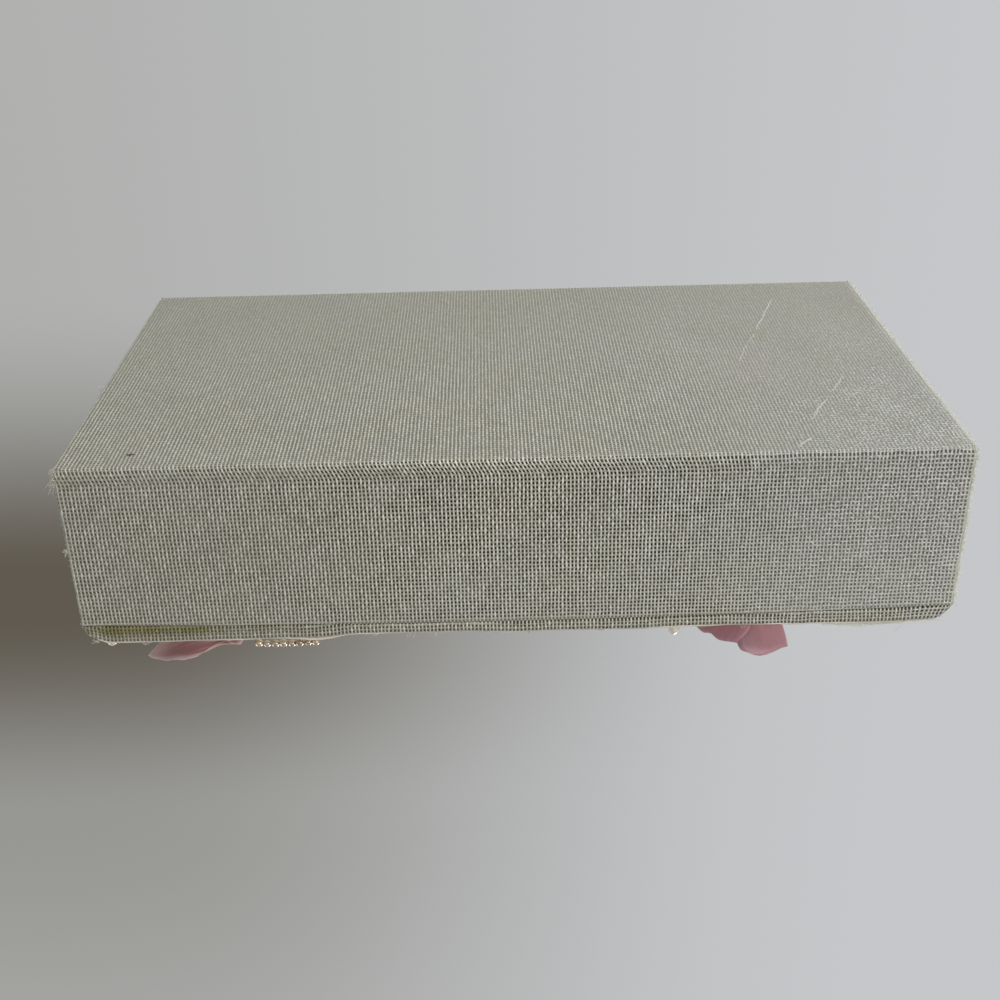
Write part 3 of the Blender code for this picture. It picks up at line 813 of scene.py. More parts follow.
def outlinePath(radius, endBack, pitch, cornerSteps, closed):
    # points round the box from the back left corner, with the outward direction and the run so far
    hx, hy = halfLength, halfDepth
    points = [((-hx, y), (-1, 0)) for y in reversed(steps(-hy + radius, endBack, pitch))]

    def corner(cx, cy, start):
        for i in range(1, cornerSteps):
            a = math.radians(start + 90 * i / cornerSteps)
            nx, ny = math.cos(a), math.sin(a)
            points.append(((cx + radius * nx, cy + radius * ny), (nx, ny)))

    corner(-hx + radius, -hy + radius, 180)
    points.extend(((x, -hy), (0, -1)) for x in steps(-hx + radius, hx - radius, pitch))
    corner(hx - radius, -hy + radius, 270)
    points.extend(((hx, y), (1, 0)) for y in steps(-hy + radius, endBack, pitch))
    if closed:
        corner(hx - radius, hy - radius, 0)
        points.extend(((x, hy), (0, 1)) for x in reversed(steps(-hx + radius, hx - radius, pitch)))
        corner(-hx + radius, hy - radius, 90)
        points.append(points[0])
    path, run, last = [], 0.0, points[0][0]
    for (x, y), (nx, ny) in points:
        run += math.hypot(x - last[0], y - last[1])
        last = (x, y)
        path.append((x, y, nx, ny, run))
    return path


def insetPoint(x, y, nx, ny, inset, backLimit):
    # a point moved inwards, held within the smaller outline so that inner corners stay square
    px = min(max(x - nx * inset, -halfLength + inset), halfLength - inset)
    py = min(max(y - ny * inset, -halfDepth + inset), backLimit)
    return px, py


def buildWallCloth():
    rim, arc, inside, pitch = (wallShape[key] for key in ("rim", "rimSteps", "turnedIn", "pitch"))
    low, top = wallLow.z, wallHigh.z
    turns = [math.pi / 2 * i / arc for i in range(arc + 1)]
    path = outlinePath(wallShape["corner"], wallHigh.y, pitch, wallShape["cornerSteps"], False)
    profile = [(0.3 * mm, low - 0.15 * mm), (0.08 * mm, low + 0.1 * mm)]
    profile += [(0.0, z) for z in steps(low + 0.6 * mm, top - rim, pitch)]
    profile += [(rim * (1 - math.cos(turn)), top - rim * (1 - math.sin(turn))) for turn in turns[1:]]
    profile += [(inside - rim * math.cos(turns[i]), top - rim * (1 - math.cos(math.asin(i / arc))))
                for i in range(arc)]
    profile += [(inside, z) for z in reversed(steps(low + wallShape["turnedFrom"], top - rim, pitch))]
    cells, down, last = [], 0.0, profile[0]
    for inset, z in profile:
        down += math.hypot(inset - last[0], z - last[1])
        last = (inset, z)
        row = []
        for x, y, nx, ny, run in path:
            point = Vector((*insetPoint(x, y, nx, ny, inset, wallHigh.y), z))
            soft = wave((x, y, z), 0.03, 3) * 0.09 * mm + wave((x, y, z), 0.008, 4) * 0.02 * mm
            if inset < rim:
                point += Vector((nx, ny, 0)) * soft
            elif inset < inside - rim:
                point.z += soft * 0.8
            lean = wave((x, y, z), 0.05, 5) * 0.5 * mm
            fold = bump(z, top, 0.7 * mm) * 0.28 * (inset < rim)
            hem = bump(z, low, 0.5 * mm) * 0.7
            corners = bump(abs(x), halfLength - 0.3 * mm, 0.5 * mm)
            corners *= bump(abs(y), halfDepth - 0.3 * mm, 0.5 * mm)
            row.append((point, ((run + lean) / pitchWarp, down / pitchWeft),
                        (wallShape["open"], max(fold, hem, corners * 0.3)), (wallShape["shine"], 0.0)))
        cells.append(row)
    mesh = clothMesh("wall_sheet", cells, weld=0.002 * mm)
    piece = thicken(addPiece("wall_sheet", mesh, coverCloth), coverSheet["thickness"])
    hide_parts("wall_cloth")
    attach(piece, "tray")


# the lid: board, cover cloth and the satin on its face

# swell holds places along the edge with how far it stands out there, both in millimetres
lidShape = {
    "corner": 1.6 * mm, "cornerSteps": 5, "roll": 0.75 * mm, "rollSteps": 4, "pitch": 2.4 * mm,
    "recess": 0.25 * mm, "setBack": 0.14 * mm, "hingeRoll": 0.6 * mm, "turnIn": 12.0 * mm,
    "swell": ((-113, 1.45), (-56, 1.35), (-43, 0.62), (-16, 0.62), (2, 1.15), (30, 1.05), (52, 0.65),
              (70, 1.0), (94, 1.0), (107, 0.75)),
    "topInset": 8.0 * mm, "lineGap": 0.18 * mm, "squeeze": 9.0 * mm,
    "tuckRight": 3.4 * mm, "tuckLeft": 2.2 * mm, "tuckReach": 7.0 * mm, "open": 0.85,
    "stripOpen": (0.60, 0.84, 0.82), "stripPitch": 0.96 * mm, "grimeShadeLeft": 0.95, "grimeShadeRight": 0.22,
}


def tuck(point):
    # the lid's hinge-side corners are drawn in towards its decorated face, the right one most
    near = smooth(point.y, halfDepth - lidShape["tuckReach"], halfDepth - 0.8 * mm)
    rise = smooth(point.z, lidLow.z + 0.2 * mm, panelHigh.z + 0.8 * mm)
    amount = lidShape["tuckRight"] if point.x > 0 else lidShape["tuckLeft"]
    start = halfLength - lidShape["squeeze"]
    past = max(0.0, abs(point.x) - start) / lidShape["squeeze"]
    shift = amount * near * rise * past * (1.0 if point.x > 0 else past ** 0.7)
    point.x -= math.copysign(shift, point.x)
    return point


def swell(x, y):
    # how far the lid's hinge edge stands out past its flat face
    points = lidShape["swell"]
    amount = points[0][1] * mm
    for (x0, before), (x1, after) in zip(points, points[1:]):
        amount += (after - before) * smooth(x, x0 * mm, x1 * mm) * mm
    amount += (wave((x, 0, 0), 0.014, 31) * 0.12 + wave((x, 0, 0), 0.004, 32) * 0.07) * mm
    amount *= 1 - smooth(abs(x), halfLength - 7 * mm, halfLength + (5 if x > 0 else -1) * mm)
    return amount * smooth(y, halfDepth - 7 * mm, halfDepth - 1.2 * mm)


def lidSection(kind, value, highZ, lowZ, lowRoll):
    # how far inwards a point of the section lies, its height and the way down the cloth
    roll = lidShape["roll"]
    turn = math.pi / 2 * value
    if kind == "top":
        return value, highZ, -value
    if kind == "upper":
        return roll * (1 - math.sin(turn)), highZ - roll * (1 - math.cos(turn)), roll * turn
    if kind == "side":
        z = blendValue(highZ - roll, lowZ + lowRoll, value)
        return 0.0, z, roll * math.pi / 2 + highZ - roll - z
    if kind == "lower":
        down = roll * math.pi / 2 + highZ - roll - lowZ - lowRoll + lowRoll * turn
        return lowRoll * (1 - math.cos(turn)), lowZ + lowRoll * (1 - math.sin(turn)), down
    return value, lowZ, highZ - lowZ + value


def buildLidCloth():
    path = outlinePath(lidShape["corner"], halfDepth - lidShape["corner"], lidShape["pitch"],
                       lidShape["cornerSteps"], True)
    jointFront = linerLow.y - 0.3 * mm
    arc, hole = lidShape["rollSteps"], (None, (0, 0), (0, 0), (0, 0))
    plan = [("top", lidShape["topInset"]), ("top", 5.0 * mm), ("top", 2.4 * mm)]
    plan += [("upper", i / arc) for i in range(arc + 1)] + [("side", 0.33), ("side", 0.67)]
    plan += [("lower", i / arc) for i in range(arc + 1)]
    plan += [("under", value) for value in steps(2.4 * mm, lidShape["turnIn"], lidShape["pitch"])]
    cells = []
    for kind, value in plan:
        row = []
        for x, y, nx, ny, run in path:
            back = smooth(ny, 0.0, 1.0) if y > 0 else 0.0
            lowZ = blendValue(lidLow.z, hingeLine(x) + lidShape["lineGap"], back)
            lowRoll = blendValue(lidShape["roll"], lidShape["hingeRoll"], back)
            highZ = lidHigh.z + swell(x, y - (value if kind == "top" else 0.0) * max(ny, 0.0))
            reach = value
            if kind == "under" and y > jointFront:
                if back >= 0.01:                 # nothing is turned in at the joint
                    row.append(hole)
                    continue
                reach = min(value, halfLength - linerHigh.x - 0.2 * mm)
            inset, z, down = lidSection(kind, reach, highZ, lowZ, lowRoll)
            point = Vector((*insetPoint(x, y, nx, ny, inset, halfDepth - inset), z))
            soft = wave((x, y, z), 0.018, 6) * 0.16 * mm + wave((x, y, z), 0.006, 7) * 0.05 * mm
            if kind in ("side", "upper", "lower"):
                point += Vector((nx, ny, 0)) * soft
                recess = lidShape["recess"] * smooth(highZ - z, 0.3 * mm, 2.0 * mm)
                point.y -= back * (lidShape["setBack"] + recess)
            if kind == "lower" or (kind == "side" and value > 0.5):
                point.z += wave((x, y, 0), 0.011, 8) * 0.1 * mm * back
            # the threads stay upright where the corner is drawn in, and lean a little at its right end
            before = point.x
            point = tuck(point)
            fan = 1.4 * mm * smooth(x, halfLength - 12 * mm, halfLength - 4 * mm) * (down / (4 * mm))
            fan += before - point.x
            pitch = blendValue(pitchWeft, lidShape["stripPitch"], back)
            openness = blendValue(lidShape["open"], acrossBox(x, lidShape["stripOpen"]), back)
            cut = bump(z, highZ, 0.45 * mm) * 0.6 * (kind != "under")
            # the hinge strip is darker towards its left end, partly grime in patches and partly painted
            # shade, and darker towards the groove with painted shade under the spine's lip
            patch = 0.75 + 0.55 * wave((x, 0, 0), 0.007, 33)
            grimeAndShade = blendValue(lidShape["grimeShadeLeft"] * patch, lidShape["grimeShadeRight"],
                               smooth(x, -0.100, -0.035))
            grimeAndShade *= back * blendValue(0.35, 1.25, smooth(highZ - z, 0.3 * mm, 3.2 * mm))
            row.append((point, ((run + fan * back) / pitchWarp, down / pitch), (openness, cut),
                        (0.2 + 0.5 * back * smooth(x, 0.02, 0.10), -grimeAndShade)))
        cells.append(row)
    mesh = clothMesh("lid_sheet", cells, weld=0.002 * mm, capFirst=True)
    piece = thicken(addPiece("lid_sheet", mesh, coverCloth), coverSheet["thickness"])
    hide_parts("lid_cloth")
    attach(piece, "lid")


def buildLidCore():
    low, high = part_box("lid_board")
    form = bmesh.new()
    size, middle = high - low, (high + low) / 2
    bmesh.ops.create_cube(form, size=1, matrix=Matrix.LocRotScale(middle, None, size))
    uprights = [e for e in form.edges if abs(e.verts[0].co.z - e.verts[1].co.z) > size.z / 2]
    bmesh.ops.bevel(form, geom=uprights, offset=1.2 * mm, segments=4, affect="EDGES", profile=0.5)
    step = 6 * mm
    for axis, normal in enumerate((Vector((1, 0, 0)), Vector((0, 1, 0)))):
        for place in steps(low[axis] + step, high[axis] - step, step):
            everything = form.verts[:] + form.edges[:] + form.faces[:]
            bmesh.ops.bisect_plane(form, geom=everything, plane_co=normal * place, plane_no=normal)
    for vert in form.verts:
        # the board stays just within the cloth, and is drawn in with it
        vert.co.y -= 0.35 * mm * (vert.co.y > halfDepth - 3 * mm)
        vert.co = tuck(vert.co)
        vert.co.x -= math.copysign(0.25 * mm, vert.co.x) * (abs(vert.co.x) > halfLength - 6 * mm)
    piece = addPiece("lid_core", meshOf(form, "lid_core"), pressedBoard)
    soften = piece.modifiers.new("worn edges", "BEVEL")
    soften.width = 0.25 * mm
    soften.segments = 2
    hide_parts("lid_board")
    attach(piece, "lid")


panelShape = {"pitch": 2.5 * mm, "roll": 0.3 * mm, "thickness": 0.32 * mm, "waver": 0.28 * mm,
              "corner": 1.8 * mm, "pullHeight": 0.10 * mm, "foldX": -52.5 * mm, "foldHeight": 0.9 * mm}


def panelHeight(x, y, edge, spots):
    # soft cloth with one small fold at the hinge edge, gathered round each flower
    z = panelHigh.z + wave((x, y, 0), 0.028, 9) * 0.10 * mm + wave((x, y, 0), 0.009, 10) * 0.03 * mm
    fold = panelShape["foldHeight"] * bump(x, panelShape["foldX"], 0.006)
    z += swell(x, y) + fold * smooth(y, halfDepth - 4 * mm, halfDepth - 1 * mm)
    for middle, radius in spots:
        gap = math.hypot(x - middle.x, y - middle.y)
        angle = math.atan2(y - middle.y, x - middle.x)
        pull = bump(gap, radius * 0.9, radius * 0.35)
        z += panelShape["pullHeight"] * pull * math.sin(angle * 9 + middle.x * 300)
    z -= panelShape["roll"] * (1 - smooth(edge, 0.0, 0.5 * mm))
    return z + wave((x, y, 3), 0.010, 11) * panelShape["waver"] * (1 - smooth(edge, 0.0, 5 * mm))


def buildSatinPanel():
    reachX, reachY, waver = panelHigh.x, panelHigh.y, panelShape["waver"]
    spots = [(middleOf(f"{flower}_centre"), plan["radius"]) for flower, plan in flowerPlans.items()]
    rows = []
    for y in steps(-reachY, reachY, panelShape["pitch"]):
        row = []
        for x in steps(-reachX, reachX, panelShape["pitch"]):
            edgeX, edgeY = reachX - abs(x), reachY - abs(y)
            px, py = x, y
            if edgeY < 1 * mm:
                outward = wave((x, 0, 5), 0.013, 12) * waver
                py += outward + 0.5 * mm if y > 0 else 0.1 * mm - outward
            if edgeX < 1 * mm:
                px += math.copysign(wave((0, y, 6), 0.013, 13) * waver - 0.1 * mm, x)
            point = Vector((px, py, panelHeight(x, y, min(edgeX, edgeY), spots)))
            corner = (math.copysign(reachX, px), math.copysign(reachY, py))
            row.append(tuck(drawIn(point, corner, panelShape["corner"], (0, 1))))
        rows.append(row)
    mesh = meshFromRows("satin_sheet", rows, {})
    piece = thicken(addPiece("satin_sheet", mesh, ivorySatin), panelShape["thickness"])
    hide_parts("satin_panel")
    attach(piece, "lid")


# the hinge: cloth in the groove and the liner inside the joint

# openness and darkening go from the middle to the ends; the darkening is painted shade in the groove
hingeShape = {"depth": 0.5 * mm, "rows": 16, "thickness": 0.3 * mm, "pitch": 2.2 * mm, "tuckedTray": 0.7 * mm,
              "tuckedLid": 0.8 * mm, "bendLow": 46.3 * mm, "bendHigh": 48.0 * mm,
              "open": (0.9, 0.2), "grimeAndShade": (-0.8, -0.25)}
linerShape = {"rows": 18, "thickness": 0.26 * mm, "pitch": 4.0 * mm, "step": 2.0 * mm, "arch": 0.12 * mm}


def buildGrooveCloth():
    # the narrow run of cloth between spine and lid, tucked behind both their edges and darkened with painted
    # shade
    cells = []
    for i in range(hingeShape["rows"] + 1):
        row = []
        for x in steps(-hingeHigh.x, hingeHigh.x, hingeShape["pitch"]):
            share = i / hingeShape["rows"]
            z = hingeLine(x) + blendValue(-hingeShape["tuckedTray"], hingeShape["tuckedLid"], share)
            deep = hingeShape["depth"] + wave((x, 0, z), 0.012, 14) * 0.05 * mm
            end = smooth(abs(x), hingeHigh.x - 5 * mm, hingeHigh.x - 2 * mm)
            openness, grimeAndShade = [blendValue(*hingeShape[key], end) for key in ("open", "grimeAndShade")]
            row.append((Vector((x, halfDepth - deep, z)), threadsAt(x, 2 * halfDepth + z),
                        (openness, 0.0), (0.0, grimeAndShade)))
        cells.append(row)
    mesh = clothMesh("groove_sheet", cells, flip=True)
    piece = applyAll(thicken(addPiece("groove_sheet", mesh, coverCloth), hingeShape["thickness"]))
    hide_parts("hinge_cloth")
    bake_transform(piece)


def buildLiner():
    # satin strip: up the tray's inner back wall, over the joint and in under the lid
    wallY, foldY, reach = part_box("spine_board")[0].y - 0.3 * mm, linerHigh.y, linerHigh.x
    bendLow, bendHigh = hingeLow.z + 0.35 * mm, linerHigh.z
    arcLow, arcHigh = bendLow + 0.2 * mm, bendHigh - 0.2 * mm
    section = [(wallY, z) for z in steps(linerLow.z, bendLow - 0.5 * mm, linerShape["step"])]
    section += [(wallY + 0.12 * mm, bendLow - 0.15 * mm), (wallY + 0.45 * mm, bendLow)]
    section += [(foldY - 0.2 * mm, bendLow + 0.05 * mm)]
    for i in range(linerShape["rows"] + 1):
        share = i / linerShape["rows"]
        y = foldY + linerShape["arch"] * math.sin(math.pi * share)
        section.append((y, blendValue(arcLow, arcHigh, share)))
    section += [(foldY - 0.25 * mm, bendHigh)]
    section += [(y, bendHigh) for y in reversed(steps(linerLow.y, foldY - 1.0 * mm, linerShape["step"]))]
    rows = [[Vector((x, y, z)) for x in steps(-reach, reach, linerShape["pitch"])] for y, z in section]
    mesh = meshFromRows("liner_sheet", rows, {})
    piece = applyAll(thicken(addPiece("liner_sheet", mesh, liningSatin), linerShape["thickness"], 1))
    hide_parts("hinge_liner")
    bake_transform(piece)


# covered cards that line the tray and the lid

cardShape = {"pitch": 3.0 * mm, "roll": 0.35 * mm, "pucker": 0.05 * mm}


def buildCard(node, name, body, thin, side):
    # thin is the card's thin axis, side the direction that its satin faces
    low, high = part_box(node)
    wide = [axis for axis in range(3) if axis != thin]
    first = steps(low[wide[0]], high[wide[0]], cardShape["pitch"])
    second = steps(low[wide[1]], high[wide[1]], cardShape["pitch"])
    front = high[thin] if side > 0 else low[thin]
    back = low[thin] if side > 0 else high[thin]

    def place(a, b, depth):
        point = Vector((0, 0, 0))
        point[wide[0]], point[wide[1]], point[thin] = a, b, depth
        return point

    rows = [[place(a, second[0], back) for a in [first[0], *first, first[-1]]]]
    for b in second:
        row = [place(first[0], b, back)]
        for a in first:
            edge = min(a - first[0], first[-1] - a, b - second[0], second[-1] - b)
            sunk = cardShape["roll"] * (1 - smooth(edge, 0.0, 1.6 * mm))
            pucker = cardShape["pucker"] * wave((a * 3, b, 0), 0.006, 15 + thin)
            sunk += pucker * (1 - smooth(edge, 0, 9 * mm))
            sunk += 0.04 * mm * wave((a, b, 4), 0.03, 20)
            inward = 0.12 * mm * (1 - smooth(edge, 0.0, 0.2 * mm))
            aIn = a + inward * ((a <= first[0]) - (a >= first[-1]))
            bIn = b + inward * ((b <= second[0]) - (b >= second[-1]))
            row.append(place(aIn, bIn, front - side * max(0.0, sunk)))
        row.append(place(first[-1], b, back))
        rows.append(row)
    rows.append([place(a, second[-1], back) for a in [first[0], *first, first[-1]]])
    mesh = meshFromRows(name, rows, {}, weld=0.01 * mm, close=True)
    piece = addPiece(name, mesh, liningSatin)
    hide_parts(node)
    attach(piece, body)


def buildCards():
    for word, body, thin, side in (("floor", "tray", 2, 1), ("front", "tray", 1, 1), ("back", "tray", 1, -1),
                                   ("left", "tray", 0, 1), ("right", "tray", 0, -1), ("lid", "lid", 2, -1)):
        buildCard(f"{word}_lining", f"{word}_card", body, thin, side)


# flowers, leaves and petals

flowerShape = {"across": 16, "along": 13, "hub": 1.1 * mm, "thickness": 0.22 * mm, "cupPower": 1.6,
               "layerShares": (1.0, 0.66, 0.42), "riseShares": (1.0, 0.97, 0.85), "layerGap": 0.65 * mm}


def petalRows(origin, direction, length, width, rise, look, rng):
    # a cupped and pleated petal; a goes across it from -1 to 1 and t along it from 0 to 1
    along = Vector((math.cos(direction), math.sin(direction), 0))
    across = Vector((math.sin(direction), -math.cos(direction), 0))
    phase, hub = rng.uniform(0, math.tau), look.get("hub", flowerShape["hub"])
    rows, petal = [], []
    for i in range(flowerShape["along"] + 1):
        t = i / flowerShape["along"]
        half = width / 2 * math.sin(math.pi / 2 * min(1.0, (t + look["neck"]) / look["widest"])) ** 0.9
        half *= 1 - look["close"] * smooth(t, look["widest"], 1.05)
        row, petalRow = [], []
        for j in range(flowerShape["across"] + 1):
            a = 2 * j / flowerShape["across"] - 1
            rounded = look["round"] * abs(a) ** look.get("roundPower", 2) * t * t
            reach = hub + (length - hub) * t * (1 - rounded)
            reach -= look["notch"] * bump(a, 0.0, 0.2) * t ** 5
            reach *= 1 - look.get("cut", 0.0) * smooth(a, look.get("cutFrom", 0.2), 1.1) * t * t
            side = a * half * (1 + 0.04 * math.sin(9 * t + phase)) + look.get("slant", 0.0) * (1 - t * t)
            gone = math.hypot(reach, side)
            lift = rise * (gone / length) ** look.get("power", flowerShape["cupPower"])
            lift += look["curl"] * abs(a) ** 2.5 * t + look["twist"] * a * t
            lift += look["pleat"] * math.cos(a * math.pi * look["pleats"] + phase) * t ** 1.3
            lift += look["ruffle"] * wave((a * 2 + phase, t * 2, direction), 1.0, 30) * t ** 2
            point = origin + along * reach + across * side
            point.z = origin.z + max(0.0, lift)
            row.append(point)
            petalRow.append((a, t))
        rows.append(row)
        petal.append(petalRow)
    return rows, petal


petalLooks = {
    "broad": {"neck": 0.12, "widest": 0.72, "close": 0.10, "round": 0.16, "notch": 0.7 * mm,
              "curl": 0.5 * mm, "twist": 0.55 * mm, "pleat": 0.18 * mm, "pleats": 2.5, "ruffle": 0.5 * mm},
    "pleated": {"neck": 0.12, "widest": 0.8, "close": 0.05, "round": 0.12, "notch": 0.3 * mm,
                "curl": 0.3 * mm, "twist": 0.7 * mm, "pleat": 0.34 * mm, "pleats": 4.5, "ruffle": 0.6 * mm},
    "leaf": {"neck": 0.02, "widest": 0.42, "close": 0.97, "round": 0.0, "notch": 0.0, "curl": 0.5 * mm,
             "twist": 0.1 * mm, "pleat": 0.08 * mm, "pleats": 4.0, "ruffle": 0.25 * mm, "hub": 0.0,
             "power": 2.0},
    "loose": {"neck": 0.03, "widest": 0.62, "close": 0.35, "round": 0.22, "notch": 0.4 * mm,
              "curl": 0.3 * mm, "twist": 0.15 * mm, "pleat": 0.1 * mm, "pleats": 2.0, "ruffle": 0.3 * mm,
              "hub": 0.0, "power": 1.6},
}

# turn of the first petal in degrees, and what is special about single petals of the outer layer
flowerPlans = {
    "left_flower": {"layers": ("outer", "inner"), "radius": 16.5 * mm, "rise": 8.5 * mm, "turn": 95,
                    "look": "pleated", "finishes": ("palePinkCloth", "creamCloth"),
                    "single": {0: {"width": 1.32, "twist": -1.5 * mm, "ruffle": 0.5 * mm, "notch": 0.0,
                                   "pleat": 0.16 * mm, "rise": 8.1 * mm, "round": 0.27, "roundPower": 2.0,
                                   "cut": 0.22, "slant": 6.0 * mm},
                               1: {"width": 0.9, "rise": 6.6 * mm}, 4: {"width": 0.85, "rise": 6.0 * mm}}},
    "right_flower": {"layers": ("outer", "inner"), "radius": 16.5 * mm, "rise": 8.8 * mm, "turn": 56,
                     "look": "broad", "finishes": ("dustyPinkCloth", "palePinkCloth"),
                     "single": {0: {"width": 1.16, "twist": 0.7 * mm, "notch": 0.1 * mm, "ruffle": 0.1 * mm,
                                    "rise": 11.5 * mm, "round": 0.2, "roundPower": 4,
                                    "cut": 0.9, "cutFrom": 0.35},
                                1: {"width": 0.95, "twist": 0.9 * mm, "rise": 7.0 * mm, "ruffle": 0.2 * mm},
                                4: {"width": 0.95, "rise": 7.4 * mm}}},
    "main_flower": {"layers": ("outer", "middle", "inner"), "radius": 23.5 * mm, "rise": 9.5 * mm, "turn": 90,
                    "look": "broad", "finishes": ("dustyPinkCloth", "palePinkCloth", "creamCloth"),
                    "single": {}},
    "front_left_flower": {"layers": ("outer",), "radius": 12.5 * mm, "rise": 6.5 * mm, "turn": 100,
                          "look": "broad", "finishes": ("creamCloth",), "single": {}},
    "front_right_flower": {"layers": ("outer",), "radius": 12.5 * mm, "rise": 6.5 * mm, "turn": 82,
                           "look": "pleated", "finishes": ("palePinkCloth",), "single": {}},
}


def middleOf(node):
    low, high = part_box(node)
    return Vector(((low.x + high.x) / 2, (low.y + high.y) / 2, low.z))


def buildLayer(flower, plan, index, rng):
    word = plan["layers"][index]
    share = flowerShape["layerShares"][index]
    radius, rise = plan["radius"] * share, plan["rise"] * flowerShape["riseShares"][index]
    origin = middleOf(f"{flower}_centre")
    origin.z = panelHigh.z + 0.3 * mm + flowerShape["layerGap"] * index
    parts = []
    for k in range(5):
        look = dict(petalLooks[plan["look"]])
        for key in ("notch", "curl", "twist", "pleat", "ruffle"):
            look[key] *= share * plan["radius"] / (16.5 * mm) * rng.uniform(0.8, 1.2)
        width = radius * 1.02
        special = plan["single"].get(k, {}) if index == 0 else {}
        width *= special.get("width", rng.uniform(0.95, 1.05))
        for key in special.keys() - {"width", "rise"}:
            look[key] = special[key]
        turn = plan["turn"] + 72 * k + 36 * index + rng.uniform(-4, 4) * (k not in plan["single"])
        lift = special.get("rise", rise * rng.uniform(0.94, 1.0))
        rows, petal = petalRows(origin, math.radians(turn), radius, width, lift, look, rng)
        parts.append((meshFromRows("petal", rows, {"petal": petal}, flip=True), 0))
    finish = plan["finishes"][index]
    name = f"{flower}_{word}_petals"
    mesh = joinMeshes(name, parts)
    piece = thicken(addPiece(name, mesh, petalCloths[finish]), flowerShape["thickness"], 1)
    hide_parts(f"{flower}_{word}")
    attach(piece, "lid")


def ballMesh(place, radius, hole, axis, segments=16, rings=10):
    # a bead: round, with a small drilled hole whose lips are drawn in a little
    outline = []
    start = math.asin(min(0.9, hole / radius))
    for i in range(rings + 1):
        a = start + (math.pi - 2 * start) * i / rings
        outline.append((radius * math.sin(a), radius * math.cos(a)))
    inner = [(hole * 0.9, outline[-1][1] * 0.8), (hole * 0.9, outline[0][1] * 0.8)]
    loop = outline + inner + [outline[0]]
    turn = Vector((0, 0, 1)).rotation_difference(Vector(axis)).to_matrix()
    rows = [[Vector(place) + turn @ point for point in ring(r, h, segments)] for r, h in loop]
    return meshFromRows("bead", rows, {}, weld=0.001 * mm, close=True)


def tubeMesh(points, radius, sides=8):
    rows = [[points[0]] * (sides + 1)]
    for place, ahead in zip(points, headings(points)):
        turn = Vector((0, 0, 1)).rotation_difference(ahead).to_matrix()
        rows.append([place + turn @ point for point in ring(radius, 0, sides)])
    rows.append([points[-1]] * (sides + 1))
    return meshFromRows("tube", rows, {}, weld=0.001 * mm, close=True)


beadSizes = {
    "bead": 2.05 * mm, "hole": 0.32 * mm, "pearl": 3.6 * mm, "pearlHole": 0.4 * mm, "thread": 0.42 * mm,
    "pearlShares": {"hinge_pearl_1": 0.72, "hinge_pearl_2": 0.66, "hinge_pearl_3": 0.48},
    "pearlShift": {"hinge_pearl_1": (2.2 * mm, 0.4 * mm, 0),
                   "hinge_pearl_2": (-0.8 * mm, 1.6 * mm, 0.6 * mm)},
    "rowCount": 8, "rowLift": 1.0 * mm, "rowWide": (0.92, 1.18), "rowShift": 0.8 * mm, "rowBow": 0.3,
    "sprayCount": 9, "sprayBow": 6.0 * mm, "sprayStart": 0.68, "ringCount": 6, "ringGap": 0.15 * mm,
}
discOutline = ((0.0, 0.42), (0.5, 0.5), (0.92, 0.42), (1.0, 0.25), (0.95, 0.05), (0.5, 0.0), (0.0, 0.0))


def buildCentre(flower):
    # a pearl in a ring of threaded beads, on a small disc of yarn
    low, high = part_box(f"{flower}_centre")
    middle = ((low + high) / 2).xy.to_3d()
    pearl, bead = beadSizes["pearl"] / 2, beadSizes["bead"] / 2
    reach, height = pearl + bead + beadSizes["ringGap"], low.z + 0.3 * mm + bead
    top = middle + Vector((0, 0, high.z - pearl))
    parts = [(ballMesh(top, pearl, beadSizes["pearlHole"], (0, 0, 1), 24, 16), 1)]
    for spot in ring(reach, height, beadSizes["ringCount"])[:-1]:
        ahead = (-spot.y / reach, spot.x / reach, 0.15)
        parts.append((ballMesh(middle + spot, bead, beadSizes["hole"], ahead), 0))
    circle = [middle + spot for spot in ring(reach, height, 40)]
    parts.append((tubeMesh(circle, beadSizes["thread"] / 2), 2))
    disc = [[middle + spot for spot in ring(reach * r, low.z + h * mm, 32)] for r, h in discOutline]
    parts.append((meshFromRows("disc", disc, {}, weld=0.001 * mm, close=True), 2))
    name = f"{flower}_heart"
    piece = addPiece(name, joinMeshes(name, parts), goldBead, pearlLustre, looseYarn)
    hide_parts(f"{flower}_centre")
    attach(piece, "lid")


def buildBeadString(name, node, places, rng, wide=(0.93, 1.0)):
    bead = beadSizes["bead"] / 2
    parts = []
    for place, ahead in zip(places, headings(places)):
        tilt = Vector((rng.uniform(-1, 1), rng.uniform(-1, 1), rng.uniform(-1, 1))) * 0.12
        parts.append((ballMesh(place, bead * rng.uniform(*wide), beadSizes["hole"], ahead + tilt), 0))
    parts.append((tubeMesh(places, beadSizes["thread"] / 2), 1))
    piece = addPiece(name, joinMeshes(name, parts), goldBead, looseYarn)
    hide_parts(node)
    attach(piece, "lid")


